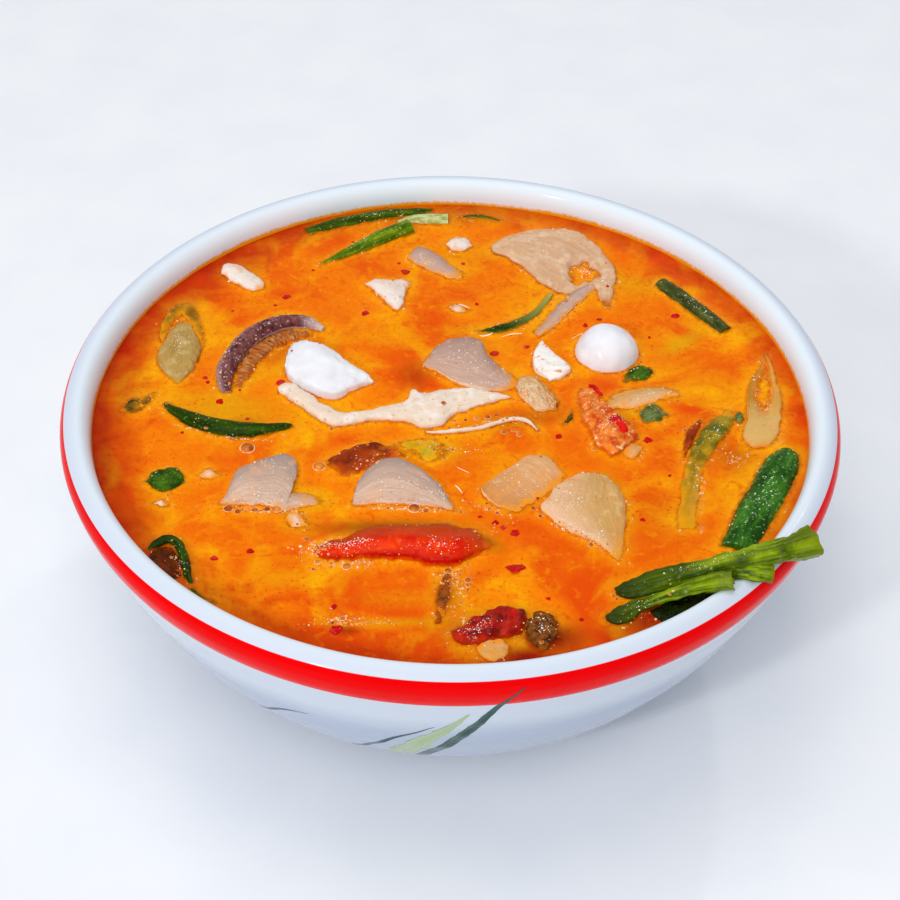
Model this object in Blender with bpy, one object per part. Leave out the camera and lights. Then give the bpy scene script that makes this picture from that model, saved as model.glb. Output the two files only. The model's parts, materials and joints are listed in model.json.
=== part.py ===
"""Tom yum soup in its deep melamine serving bowl, with everything that floats in it.

Plan positions are millimetres from the bowl's axis, x to the right and y to the back.
Heights of the food are millimetres above the soup's surface. The bowl stands on z = 0.
"""
import math

import bmesh
import bpy
from mathutils import Vector

MM = 0.001
GAP = 0.3  # clearance kept between neighbouring pieces
WALL_GAP = 0.4  # the same, measured sideways to the bowl's sloping wall

# Bowl: a deep round melamine bowl with a thick rolled lip and a foot ring.
BOWL_RADIUS = 105.0
BOWL_HEIGHT = 82.0
BOWL_SIDES = 48
LIP_OUT = 4.65  # from the crest of the lip to the widest point, sideways
LIP_OUT_DROP = 5.1
LIP_IN = 3.45  # from the crest to the inner wall
LIP_IN_DROP = 5.85
FOOT_RADIUS = 47.5
FOOT_WIDTH = 5.0
FOOT_HEIGHT = 5.0
FOOT_RECESS = 3.0
FLOOR_DEPTH = 73.0  # inside, below the lip's crest
WALL_OUTSIDE = ((101.4, 16), (96.1, 28), (90.3, 40), (82.8, 52), (76.5, 60), (67.0, 68), (55.5, 74.5))
WALL_INSIDE = ((94.6, 16), (89.8, 28), (84.0, 40), (76.3, 52), (63.0, 64), (45.0, 71))

# Soup: filled to just under the lip.
SOUP_DEPTH = 7.5  # surface below the lip's crest
SOUP_LEVEL = BOWL_HEIGHT - SOUP_DEPTH
SOUP_RADIUS = 96.6

CUTTERS = "soup_cutters"

# A piece that floats flat: widths as shares of its outline, heights above the soup.
UNDERSIDE_SHARE = 0.8
SHOULDER_SHARE = 0.84
SHOULDER_RISE = 0.72  # share of the piece's full rise
WIDEST_AT = 0.15


def clear_scene():
    for thing in list(bpy.data.objects):
        bpy.data.objects.remove(thing, do_unlink=True)


def material(name, colour, roughness):
    """A plain Principled finish; colour is an sRGB hex string."""
    finish = bpy.data.materials.new(name)
    finish.use_nodes = True
    shader = finish.node_tree.nodes["Principled BSDF"]
    channels = [int(colour[i:i + 2], 16) / 255 for i in (0, 2, 4)]
    linear = [c / 12.92 if c <= 0.04045 else ((c + 0.055) / 1.055) ** 2.4 for c in channels]
    shader.inputs["Base Color"].default_value = (*linear, 1.0)
    shader.inputs["Roughness"].default_value = roughness
    shader.inputs["Metallic"].default_value = 0.0
    return finish


def add_object(name, bm, place, colour, roughness, collection=None):
    """Turns a bmesh in millimetres into an object whose origin is at place."""
    bmesh.ops.translate(bm, vec=-Vector(place), verts=bm.verts)
    bmesh.ops.scale(bm, vec=(MM, MM, MM), verts=bm.verts)
    bmesh.ops.recalc_face_normals(bm, faces=bm.faces)
    mesh = bpy.data.meshes.new(name)
    bm.to_mesh(mesh)
    bm.free()
    mesh.materials.append(material(name + "_finish", colour, roughness))
    mesh.shade_smooth()
    mesh.set_sharp_from_angle(angle=math.radians(40))
    thing = bpy.data.objects.new(name, mesh)
    thing.location = Vector(place) * MM
    (collection or bpy.context.scene.collection).objects.link(thing)
    return thing


def add_cutter(name, bm, cutters):
    """The room that a piece takes up in the soup."""
    cutter = add_object(name + "_room", bm, (0, 0, 0), "808080", 0.5, cutters)
    cutter.hide_render = True
    cutter.display_type = "WIRE"


def spline(points, steps, closed=False):
    """Points of any dimension on a Catmull-Rom curve through the given ones."""
    knots = [Vector(p) for p in points]
    count = len(knots)
    spans = count if closed else count - 1
    curve = []
    for span in range(spans):
        picks = [span - 1, span, span + 1, span + 2]
        if closed:
            a, b, c, d = (knots[i % count] for i in picks)
        else:
            a, b, c, d = (knots[min(max(i, 0), count - 1)] for i in picks)
        for step in range(steps):
            t = step / steps
            curve.append(0.5 * (2 * b + (c - a) * t + (2 * a - 5 * b + 4 * c - d) * t * t
                                + (3 * b - a - 3 * c + d) * t ** 3))
    if not closed:
        curve.append(knots[-1].copy())
    return curve


def wrapped_grid(rows, columns, surface):
    """A closed skin: a grid is bent to surface(row, column), then its seam and ends are closed."""
    bm = bmesh.new()
    bmesh.ops.create_grid(bm, x_segments=rows, y_segments=columns, size=0.5)
    for vert in bm.verts:
        row = round((vert.co.x + 0.5) * rows)
        column = round((vert.co.y + 0.5) * columns)
        vert.co = surface(row, column % columns)
    bmesh.ops.remove_doubles(bm, verts=bm.verts, dist=1e-4)
    open_edges = [edge for edge in bm.edges if edge.is_boundary]
    if open_edges:
        bmesh.ops.holes_fill(bm, edges=open_edges)
    return bm


def turned(profile, sides):
    """A solid of revolution from a profile of (radius, height) that starts and ends on the axis."""
    bm = bmesh.new()
    verts = [bm.verts.new((radius, 0, height)) for radius, height in profile]
    edges = [bm.edges.new(pair) for pair in zip(verts, verts[1:])]
    bmesh.ops.spin(bm, geom=verts + edges, cent=(0, 0, 0), axis=(0, 0, 1),
                   angle=2 * math.pi, steps=sides, use_merge=True)
    bmesh.ops.remove_doubles(bm, verts=bm.verts, dist=1e-4)
    return bm


def quarter_ellipse(centre, radii, start, end, steps):
    """Points from one angle to another, in degrees, round an ellipse in the profile's plane."""
    angles = [math.radians(start + (end - start) * i / steps) for i in range(steps + 1)]
    return [(centre[0] + radii[0] * math.cos(a), centre[1] + radii[1] * math.sin(a)) for a in angles]


def bowl():
    crest = BOWL_RADIUS - LIP_OUT
    height = BOWL_HEIGHT
    inner_foot = FOOT_RADIUS - FOOT_WIDTH
    profile = [(0, FOOT_RECESS), (inner_foot, FOOT_RECESS), (inner_foot, 0), (FOOT_RADIUS, 0),
               (FOOT_RADIUS, FOOT_HEIGHT)]
    profile += [(radius, height - drop) for radius, drop in reversed(WALL_OUTSIDE)]
    profile += quarter_ellipse((crest, height - LIP_OUT_DROP), (LIP_OUT, LIP_OUT_DROP), 0, 90, 3)
    profile += quarter_ellipse((crest, height - LIP_IN_DROP), (LIP_IN, LIP_IN_DROP), 90, 180, 3)[1:]
    profile += [(radius, height - drop) for radius, drop in WALL_INSIDE]
    profile += [(0, height - FLOOR_DEPTH)]
    add_object("bowl", turned(profile, BOWL_SIDES), (0, 0, 0), "E4EAF2", 0.2)


def soup(cutters):
    height = BOWL_HEIGHT
    profile = [(0, height - FLOOR_DEPTH + GAP)]
    profile += [(radius - WALL_GAP, height - drop + GAP) for radius, drop in reversed(WALL_INSIDE)]
    profile += [(SOUP_RADIUS - GAP, SOUP_LEVEL), (0, SOUP_LEVEL)]
    broth = add_object("soup", turned(profile, BOWL_SIDES), (0, 0, 0), "F07A0C", 0.15)
    pockets = broth.modifiers.new("pockets", "BOOLEAN")
    pockets.operation = "DIFFERENCE"
    pockets.operand_type = "COLLECTION"
    pockets.collection = cutters
    pockets.solver = "EXACT"


def polar_outline(outline, sides):
    """The middle of a closed outline, and its radius at each of sides equal angles."""
    middle = sum((Vector(p) for p in outline), Vector((0, 0))) / len(outline)
    curve = [p - middle for p in spline(outline, 8, closed=True)]
    radii = []
    for side in range(sides):
        ray = Vector((math.cos(2 * math.pi * side / sides), math.sin(2 * math.pi * side / sides)))
        reach = 0.0
        for a, b in zip(curve, curve[1:] + curve[:1]):
            across_a = ray.x * a.y - ray.y * a.x
            across_b = ray.x * b.y - ray.y * b.x
            if across_a * across_b <= 0 and across_a != across_b:
                hit = a.lerp(b, across_a / (across_a - across_b))
                reach = max(reach, hit.dot(ray))
        radii.append(reach)
    return middle, radii


def morsel_skin(outline, rise, sink, sides, grow):
    """A domed piece: flat underneath, widest just above the soup."""
    middle, radii = polar_outline(outline, sides)
    rings = ((0.0, -sink - grow), (UNDERSIDE_SHARE, -sink - grow), (1.0, WIDEST_AT),
             (SHOULDER_SHARE, SHOULDER_RISE * rise + grow), (0.0, rise + grow))

    def surface(row, column):
        share, height = rings[row]
        angle = 2 * math.pi * column / sides
        reach = (radii[column] + grow) * share
        return Vector((middle.x + reach * math.cos(angle), middle.y + reach * math.sin(angle),
                       SOUP_LEVEL + height))

    return middle, wrapped_grid(len(rings) - 1, sides, surface)


def morsel(name, outline, rise, sink, colour, cutters, sides=12, roughness=0.35):
    """A piece lying in the soup's surface, and the room for it in the soup."""
    middle, skin = morsel_skin(outline, rise, sink, sides, 0.0)
    add_object(name, skin, (middle.x, middle.y, SOUP_LEVEL), colour, roughness)
    add_cutter(name, morsel_skin(outline, rise, sink, sides, GAP)[1], cutters)


def rod_skin(path, halves, steps, sides, grow):
    """A skin round a path; halves gives the half width and half height at each path point."""
    spine = spline(path, steps)
    sizes = spline(halves, steps)
    tangents = [(spine[min(i + 1, len(spine) - 1)] - spine[max(i - 1, 0)]).normalized()
                for i in range(len(spine))]
    spine[0] = spine[0] - tangents[0] * grow
    spine[-1] = spine[-1] + tangents[-1] * grow

    def surface(row, column):
        side = tangents[row].cross(Vector((0, 0, 1))).normalized()
        above = side.cross(tangents[row])
        angle = 2 * math.pi * column / sides
        wide, high = sizes[row] + Vector((grow, grow))
        return (spine[row] + side * wide * math.cos(angle) + above * high * math.sin(angle)
                + Vector((0, 0, SOUP_LEVEL)))

    return wrapped_grid(len(spine) - 1, sides, surface)


def rod(name, path, halves, colour, cutters, steps=2, sides=8, roughness=0.35):
    """A stem, strip or pod along a path, and the room for it in the soup."""
    path = [Vector(point).to_3d() for point in path]
    if isinstance(halves[0], float):
        halves = [halves] * len(path)
    start = path[0] + Vector((0, 0, SOUP_LEVEL))
    add_object(name, rod_skin(path, halves, steps, sides, 0.0), start, colour, roughness)
    add_cutter(name, rod_skin(path, halves, steps, sides, GAP), cutters)


def ball_skin(radius, place):
    bm = bmesh.new()
    bmesh.ops.create_uvsphere(bm, u_segments=14, v_segments=9, radius=radius)
    bmesh.ops.translate(bm, vec=place, verts=bm.verts)
    return bm


def onions(cutters):
    """Scalded onion petals, shallot slices and onion strips."""
    morsel("onion_petal_pink", [(-8, 19.5), (-5.5, 25), (0, 28.5), (7, 29.5), (12.5, 22), (19.5, 14.5),
                                (14, 10.8), (5.5, 11.5), (0, 13.5), (-3.5, 17.5)],
           2.4, 3.0, "B79C92", cutters, 14)
    morsel("onion_petal_yellow", [(23.5, -38.3), (30, -30.5), (37.4, -26), (42.5, -27.5), (45.6, -37.3),
                                  (46, -48), (44.9, -56), (38.5, -52.7), (30, -43.5)],
           2.6, 3.0, "CDA76A", cutters, 14)
    morsel("onion_petal_peach", [(8.4, -30.5), (14.7, -26.3), (20, -19.5), (26.5, -19), (30, -24),
                                 (22.5, -33.6), (15, -38.6), (10.2, -35)],
           2.2, 3.0, "D99E74", cutters)
    morsel("onion_petal_middle", [(-24.3, -36), (-24, -28), (-20, -22.5), (-13, -20.3), (-7.5, -24.5),
                                  (-1.5, -31.5), (1.6, -37.6), (-5, -37.2), (-15, -36.6)],
           3.2, 3.0, "C9B3AC", cutters, 14)
    morsel("onion_petal_left", [(-60, -37), (-57.7, -31), (-53, -24.5), (-45.2, -19.5), (-41.2, -22.5),
                                (-43.8, -28), (-38.5, -32), (-33, -35.5), (-39, -39.3), (-46.5, -37),
                                (-54, -38.2)],
           2.4, 3.0, "C2ABA1", cutters, 16)
    morsel("onion_petal_back", [(-25.5, 56.3), (-19.6, 57), (-12.5, 58), (-12.9, 51.5), (-15.8, 43.6),
                                (-20.5, 49.5)],
           1.8, 2.5, "DDBCA0", cutters, 12)
    morsel("onion_sliver_back", [(-12.2, 68.2), (-9.8, 73.2), (-4, 69), (3.6, 61.5), (1, 59.3),
                                 (-5.5, 61.6)],
           1.2, 2.0, "D2A08A", cutters, 12)
    morsel("onion_slice_white", [(-68, 61), (-64.8, 63.5), (-59.8, 60.3), (-55.3, 54.3), (-58.3, 52.2),
                                 (-64.5, 54.8)],
           1.3, 2.0, "EFE3DC", cutters, 12)
    morsel("onion_wedge_right", [(88.8, 27.5), (85, 21), (81.6, 13), (80.6, 2), (79.2, -8), (82.5, -13),
                                 (88, -7), (90.4, 5), (89.8, 17)],
           1.8, 2.5, "DDA75C", cutters, 14)
    rod("onion_strip_back", [(39.3, 51), (35.5, 47.5), (30, 41.5), (24.2, 34.8)],
        [(0.8, 0.8), (1.9, 1.2), (2.0, 1.2), (1.2, 0.8)], "D8B183", cutters, steps=1)
    rod("onion_strip_right", [(45.4, 5.8), (49, 7.4), (55.5, 9.4), (63, 9.8)],
        [(0.9, 0.7), (2.7, 1.1), (2.4, 1.1), (0.5, 0.5)], "C9A977", cutters, steps=1)
    morsel("onion_front", [(7.5, -88.5), (13.5, -87.2), (15, -89.5), (12.5, -91.4), (9, -91.3)],
           0.9, 2.0, "D98A28", cutters, 10)
    morsel("shallot_nub_back", [(-2.1, 76), (0.5, 79), (4, 78.8), (5.3, 75.5), (2, 73.2)],
           1.1, 2.0, "F0CFA6", cutters, 10)


def mushrooms(cutters):
    """A dark cap slice with its gills, and pale oyster mushrooms."""
    rod("mushroom_cap_dark", [(-61, 7.6, 0.3), (-61.6, 15, 1.0), (-58.8, 24.6, 1.5), (-53.5, 32, 1.6),
                              (-46, 35.7, 1.3), (-38.3, 34, 0.8)],
        [(1.6, 1.5), (2.6, 2.3), (2.8, 2.6), (2.8, 2.6), (2.5, 2.2), (1.4, 1.3)], "4A2A2E", cutters)
    rod("mushroom_gills", [(-56.7, 12, 0), (-53.6, 22, 0.2), (-49.2, 28.4, 0.2), (-46.6, 30.4, 0)],
        [(1.0, 0.6), (2.0, 1.2), (2.0, 1.2), (1.2, 0.7)], "A8642A", cutters, steps=1)
    rod("oyster_mushroom_long", [(-47.6, 9.4, 0.2), (-43.8, 6.6, 0.4), (-38.5, 2.6, 0.4),
                                 (-30.5, -2.0, 0.4), (-22, -1.5, 0.4), (-14.5, -0.5, 0.5),
                                 (-7.5, 1.2, 0.5), (-1, 3.2, 0.5), (7, 6, 0.4), (15.6, 7.6, 0.2)],
        [(1.6, 0.9), (3.1, 1.5), (3.5, 1.6), (3.3, 1.6), (3.0, 1.6), (4.5, 1.8), (7.0, 2.0),
         (6.0, 1.8), (3.9, 1.4), (1.2, 0.7)], "EAD9C4", cutters, steps=1, sides=10)
    morsel("oyster_mushroom_big", [(11, 76), (18.3, 80.4), (27, 82.6), (35.2, 83.6), (42, 80),
                                   (46.6, 71.5), (48, 62), (45.8, 52), (44.6, 46), (41.4, 52.8),
                                   (35.5, 52.8), (28.5, 54.5), (20, 63.5), (14, 70.5)],
           1.8, 2.5, "CDA483", cutters, 18)
    rod("mushroom_sliver", [(-6.9, -8.9), (2, -7.6), (10, -5.8), (15.5, -3.3), (20, -2.8), (24.6, -6.2)],
        (0.75, 0.8), "EBC598", cutters, steps=1, sides=6)


def seafood_and_meat(cutters):
    """Fish ball, squid, shrimp and the other pale or rough bites."""
    centre = (44.2, 28.5, SOUP_LEVEL - 0.6)
    radius = 9.3
    add_object("fish_ball", ball_skin(radius, centre), centre, "EEF0EC", 0.3)
    add_cutter("fish_ball", ball_skin(radius + GAP, centre), cutters)
    morsel("squid_chunk", [(-45.8, 14.6), (-40, 11), (-34.3, 7), (-29.5, 8.2), (-23.5, 11.5), (-22.2, 14.5),
                           (-27.5, 18.5), (-34.3, 24), (-40.5, 26), (-44.4, 24), (-46, 19.5)],
           5.6, 4.0, "F3F0F0", cutters, 14)
    morsel("fish_cake_wedge", [(25.2, 29.2), (28, 28.2), (32, 18.7), (29.8, 16.5), (27.6, 15.1),
                               (22.5, 18.6), (23.4, 24)],
           2.2, 3.0, "E9DCCB", cutters, 12)
    morsel("shrimp_chunk", [(35.4, 11.5), (38.6, 12.3), (41.8, 6.1), (44.9, 0.5), (49.6, -4.5),
                            (49.2, -9.4), (45.3, -13), (42, -14.6), (38.8, -9.4), (34, -6.4),
                            (38, -1), (38, 5)],
           2.6, 3.0, "C2571C", cutters, 16, roughness=0.5)
    morsel("shrimp_tail_pale", [(46, -14.8), (50.5, -11.6), (53.5, -12.5), (51.5, -16.6), (48, -17.6)],
           0.9, 2.0, "E0A04A", cutters, 10)
    morsel("cream_nub_middle", [(20.4, 12.8), (24.2, 13.6), (26.6, 8), (26.4, 4.2), (22.3, 4.4),
                                (19.2, 8)],
           1.6, 2.5, "E0B678", cutters, 12)
    morsel("brown_chunk_front", [(19.2, -79.6), (22.6, -75.4), (26.6, -78.6), (27, -83.5), (24, -87),
                                 (20, -85.6)],
           2.2, 3.0, "6B4218", cutters, 12, roughness=0.5)
    rod("brown_fold_front", [(0.6, -62.6), (-1.8, -67.5), (-2.6, -73), (-1.2, -79)],
        [(1.0, 0.8), (1.7, 1.2), (1.5, 1.1), (0.8, 0.6)], "5A2A10", cutters, steps=1)


def tomatoes_and_peppers(cutters):
    """Cooked tomato wedges, chilli and pepper strips."""
    morsel("tomato_wedge", [(-33.6, -55.5), (-30, -51.4), (-22, -49), (-12.6, -47.2), (-3, -46.8),
                            (5, -48.8), (11, -53.6), (5.8, -57.6), (0.5, -61.3), (-6.5, -58.2),
                            (-15.3, -57.4), (-22.8, -59.4)],
           3.2, 3.5, "CF1F0A", cutters, 18, roughness=0.25)
    morsel("tomato_front", [(1.6, -80.2), (5.7, -76), (12, -73.6), (17.6, -75.4), (18, -80.5),
                            (14.5, -84.8), (8.5, -86), (4, -84.2)],
           2.2, 3.0, "B4261C", cutters, roughness=0.25)
    morsel("chilli_skin_dark", [(-36, -21.5), (-30, -16.8), (-22, -12.6), (-15.8, -13.9), (-12.5, -17.6),
                                (-20, -20.4), (-27, -26), (-30, -24.6)],
           1.2, 2.0, "6E1E0C", cutters)
    morsel("pepper_slice_middle", [(-11.2, -17.4), (-13.6, -12.2), (-7, -10.6), (-1.2, -11.4),
                                   (-0.8, -15.6), (-5, -18.6)],
           0.9, 2.0, "B9A21C", cutters, 12)
    rod("pepper_strip_bent", [(74.6, 2.4), (72.2, -5.5), (67, -12.5), (63.6, -19), (63, -30), (61, -42)],
        [(1.2, 0.7), (3.0, 1.2), (2.6, 1.2), (2.1, 1.1), (2.0, 1.1), (0.8, 0.6)], "8A7A18", cutters)


def greens(cutters):
    """Long beans, spring onion, leaves and the water-spinach stalks that lean on the lip."""
    rod("bean_stem_back", [(-43.9, 81.8), (-33, 86.6), (-20, 91), (-7, 93.2)],
        [(1.1, 1.0), (1.5, 1.4), (1.4, 1.3), (0.7, 0.7)], "2F4A0E", cutters, sides=6)
    rod("leek_back", [(-20, 86.9), (-12, 88.6), (-6.5, 89), (-2, 89)],
        [(0.8, 0.7), (1.5, 1.2), (1.9, 1.5), (2.1, 1.6)], "B9BE7E", cutters, steps=1)
    rod("bean_tip_back", [(-38.8, 66.1, 0), (-30, 72.2, 0.3), (-21, 79, 0.6), (-13.6, 84, 0.6)],
        [(0.4, 0.4), (1.6, 1.5), (2.0, 1.9), (2.1, 2.0)], "55740F", cutters)
    rod("green_strip_back", [(1.4, 90.2), (7.5, 90.4), (13.8, 88.6)],
        (0.7, 0.7), "5C7314", cutters, sides=6)
    rod("bean_back_right", [(60.8, 59.2), (66, 52.6), (72.5, 44.4), (77.6, 37.4)],
        [(2.0, 1.6), (2.7, 2.2), (2.6, 2.1), (1.5, 1.2)], "4A5A2E", cutters, steps=1, sides=10)
    rod("green_curl_middle", [(28.9, 51.4), (25.6, 46), (20.5, 41), (13.5, 37.8), (6.2, 36.4)],
        [(0.6, 0.6), (1.0, 0.9), (1.1, 0.9), (1.1, 0.9), (0.6, 0.6)], "6E7A1C", cutters, steps=1, sides=6)
    rod("green_chilli_left", [(-78, 0.4, 0), (-71.5, -4.6, 0.3), (-64, -8.4, 0.5), (-56.5, -10.2, 0.5),
                              (-49.5, -9.4, 0.3), (-43, -8.1, 0)],
        [(0.5, 0.5), (2.4, 1.6), (2.9, 2.0), (2.7, 1.9), (1.7, 1.3), (0.5, 0.5)], "234A0F", cutters,
        sides=10)
    morsel("leaf_left", [(-81.6, -31.2), (-78, -27), (-73.5, -24.8), (-70, -26.6), (-69.3, -31),
                         (-74, -32.6)],
           1.6, 2.0, "2E6418", cutters, 12)
    rod("leaf_curl_front", [(-75.8, -55.6), (-73, -51.9), (-69.2, -51.8), (-67, -56), (-65.2, -61.5),
                            (-63.1, -67)],
        [(0.7, 0.6), (1.2, 1.0), (1.2, 1.0), (1.2, 1.0), (1.0, 0.9), (0.6, 0.6)], "20401C", cutters,
        steps=1, sides=6)
    rod("leaf_curl_front_end", [(-62.2, -68.6), (-59.8, -71), (-56.8, -72.6)],
        (0.6, 0.6), "20401C", cutters, steps=1, sides=6)
    morsel("pale_wedge_left", [(-76, 43.6), (-79.6, 39.5), (-81.6, 30), (-82.2, 21.5), (-79.5, 14.8),
                               (-75.5, 12.2), (-71.9, 15), (-70.6, 25), (-72.6, 37)],
           1.8, 2.5, "B79A5A", cutters, 14)
    morsel("herb_shred_left", [(-89.4, -1.6), (-88, 2.4), (-83.6, 3.8), (-81.2, 6), (-82, 2), (-85.4, -1.8)],
           0.8, 1.5, "5E4A10", cutters, 10)
    rod("bean_thick_right", [(88.8, -17.4, -0.9), (84.4, -26.8, -0.9), (79.2, -38.6, -0.9),
                             (73.2, -51.5, -1.0)],
        [(4.6, 3.6), (5.1, 4.2), (5.1, 4.2), (4.5, 3.4)], "2F6116", cutters, sides=12)
    morsel("leaf_shred_ball", [(48.3, 15.6), (51.2, 19.4), (55, 20.6), (55.2, 17.2), (51, 14.4)],
           0.8, 1.5, "33561A", cutters, 10)
    morsel("leaf_shred_right", [(51.8, -0.4), (54.6, 4), (57, 2), (59, -0.8), (55, -1.8)],
           0.8, 1.5, "7D8A52", cutters, 10)
    morsel("stalk_leaf", [(52, -74.8), (57, -71.6), (66.5, -67.4), (68.6, -65.6), (66, -69.4),
                          (60, -75), (55, -77.8)],
           0.8, 1.5, "16220A", cutters, 12)
    rod("stalk_top", [(42, -66.4, 0.2), (53, -64.6, 2.4), (64, -63.6, 5.4), (74, -62.9, 9.3),
                      (82, -62, 11.4), (88, -60.4, 11.9), (91.8, -59, 12.1)],
        [(0.9, 0.8), (2.6, 2.2), (2.8, 2.5), (2.8, 2.5), (2.7, 2.5), (3.0, 2.7), (3.8, 3.3)],
        "4F8A12", cutters, steps=1, sides=10)
    rod("stalk_under", [(40, -75.6, 0.1), (48, -73.2, 1.2), (57.2, -72.2, 4.4), (64, -72.6, 8.2),
                        (69.6, -72.8, 9.9)],
        [(0.8, 0.7), (1.9, 1.0), (1.6, 1.5), (2.0, 1.8), (2.2, 2.0)], "557E14", cutters, steps=1)
    rod("stalk_spur", [(68, -68.0, 8.6), (73.6, -68.4, 9.5), (79.4, -68.8, 9.3)],
        [(1.0, 0.9), (1.6, 1.4), (1.9, 1.7)], "4C7010", cutters, steps=1)


def build():
    clear_scene()
    cutters = bpy.data.collections.new(CUTTERS)
    bpy.context.scene.collection.children.link(cutters)
    bowl()
    onions(cutters)
    mushrooms(cutters)
    seafood_and_meat(cutters)
    tomatoes_and_peppers(cutters)
    greens(cutters)
    soup(cutters)


build()
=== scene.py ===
"""Tom yum soup in its melamine serving bowl: every visible surface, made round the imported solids.

Plan points are millimetres from the bowl's axis, x to the right and y to the back, and heights of
the food are millimetres above the broth. Each piece is shaped where its solid lies.
"""
import json
import math
import random

import bmesh
import bpy
from mathutils import Matrix, Vector, noise
from mathutils.bvhtree import BVHTree

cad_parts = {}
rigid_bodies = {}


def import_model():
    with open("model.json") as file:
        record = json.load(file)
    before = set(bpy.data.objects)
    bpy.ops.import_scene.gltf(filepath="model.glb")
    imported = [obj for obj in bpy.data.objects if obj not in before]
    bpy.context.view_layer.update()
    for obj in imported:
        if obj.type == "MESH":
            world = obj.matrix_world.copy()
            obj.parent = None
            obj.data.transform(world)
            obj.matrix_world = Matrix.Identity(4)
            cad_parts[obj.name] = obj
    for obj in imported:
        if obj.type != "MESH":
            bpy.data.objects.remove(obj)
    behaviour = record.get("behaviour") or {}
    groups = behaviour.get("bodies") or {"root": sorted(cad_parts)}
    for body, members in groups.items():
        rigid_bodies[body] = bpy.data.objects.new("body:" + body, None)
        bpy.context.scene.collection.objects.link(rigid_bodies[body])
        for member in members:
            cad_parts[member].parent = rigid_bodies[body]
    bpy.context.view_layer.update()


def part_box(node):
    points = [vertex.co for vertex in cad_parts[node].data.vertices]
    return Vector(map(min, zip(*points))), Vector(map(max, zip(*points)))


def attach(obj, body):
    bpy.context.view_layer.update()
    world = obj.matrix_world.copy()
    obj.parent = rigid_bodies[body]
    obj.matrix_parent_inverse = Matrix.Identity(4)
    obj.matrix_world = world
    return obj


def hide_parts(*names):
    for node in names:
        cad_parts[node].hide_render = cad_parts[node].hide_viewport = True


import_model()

# --- Bowl -------------------------------------------------------------------------------------
# A deep serving bowl pressed from white melamine, with a thick rolled lip, soft ridges round the
# wall, a foot ring and a red band printed under the lip. One profile is turned round the axis, and
# the skin stands where its solid does.
MM = 0.001
RIM_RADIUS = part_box("bowl")[1].x / MM
RIM_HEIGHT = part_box("bowl")[1].z / MM
LIP_OUT = 4.65  # from the crest of the lip out to the widest point
LIP_OUT_DROP = 5.1
LIP_IN = 3.45  # from the crest in to the inner wall
LIP_IN_DROP = 5.85
LIP_STEPS = 18
CREST_RADIUS = RIM_RADIUS - LIP_OUT
FOOT_RADIUS = 47.5
FOOT_WIDTH = 5.0
FOOT_RECESS = 3.0
FLOOR_DROP = 73.0
WALL_OUTSIDE = (
    (105.0, 5.1), (104.3, 8.5), (102.7, 12), (99.6, 20), (96.1, 28), (90.3, 40), (82.8, 52), (76.5, 60),
    (67.0, 68), (55.5, 74.5), (48.6, 77.2))
WALL_INSIDE = ((94.6, 16), (89.8, 28), (84.0, 40), (76.3, 52), (63.0, 64), (45.0, 71))
# Ridges round the wall: drop below the crest, how far it swings, swings in a turn, height.
RIDGES = (
    (14.5, 1.2, 3, 0.14), (23.5, 2.6, 2, 0.3), (31.0, 3.0, 3, 0.3), (41.0, 2.4, 2, 0.26),
    (51.0, 2.0, 3, 0.2))
RIDGE_WIDTH = 3.4
TURN_STEPS = 256
CURVE_STEPS = 12  # between two given points of a curve
BAND_TOP = 1.5  # the red band, below the crest
BAND_BOTTOM = 10.3
INK_EDGE = 0.15  # over which the band fades
BROTH_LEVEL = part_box("soup")[1].z / MM


def srgb(code):
    """A colour from its sRGB hex code, in the linear values that shaders work in."""
    channels = [int(code[i:i + 2], 16) / 255 for i in (0, 2, 4)]
    return (*[c / 12.92 if c <= 0.04045 else ((c + 0.055) / 1.055) ** 2.4 for c in channels], 1.0)


def add_node(material, kind, inputs=None, **settings):
    """Adds a node; an input is set to a value or linked to another node's output socket."""
    node = material.node_tree.nodes.new(kind)
    for name, value in settings.items():
        setattr(node, name, value)
    for socket, value in (inputs or {}).items():
        if isinstance(value, bpy.types.NodeSocket):
            material.node_tree.links.new(value, node.inputs[socket])
        else:
            node.inputs[socket].default_value = value
    return node


def new_material(name):
    """An empty material, ready for its nodes."""
    material = bpy.data.materials.new(name)
    material.use_nodes = True
    material.node_tree.nodes.clear()
    return material


def surface(material, **inputs):
    """The shader that closes a material; underscores in a name stand for spaces."""
    sockets = {name.replace("_", " "): value for name, value in inputs.items()}
    shader = add_node(material, "ShaderNodeBsdfPrincipled", sockets)
    add_node(material, "ShaderNodeOutputMaterial", {"Surface": shader.outputs[0]})


def mottling(material, size, detail=3.0, **settings):
    """A cloudy pattern with blotches of that many millimetres, from 0 to 1."""
    place = add_node(material, "ShaderNodeTexCoord").outputs["Object"]
    sockets = {"Vector": place, "Scale": 1 / (size * MM), "Detail": detail, **settings}
    return add_node(material, "ShaderNodeTexNoise", sockets).outputs["Fac"]


def two_tone(material, factor, dark, light, low=0.35, high=0.65, ease="LINEAR"):
    """A colour between two, by a pattern; each of the two is a hex code or a colour socket."""
    blend = add_node(material, "ShaderNodeMapRange", {"Value": factor, "From Min": low, "From Max": high},
                     interpolation_type=ease)
    ends = [srgb(c) if isinstance(c, str) else c for c in (dark, light)]
    return add_node(material, "ShaderNodeMix", {"Factor": blend.outputs[0], 6: ends[0], 7: ends[1]},
                    data_type="RGBA").outputs[2]


def bumps(material, *layers):
    """A normal from patterns, each with its depth in millimetres."""
    normal = None
    for pattern, depth in layers:
        inputs = {"Height": pattern, "Strength": 1.0, "Distance": depth * MM}
        if normal:
            inputs["Normal"] = normal
        normal = add_node(material, "ShaderNodeBump", inputs).outputs[0]
    return normal


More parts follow.
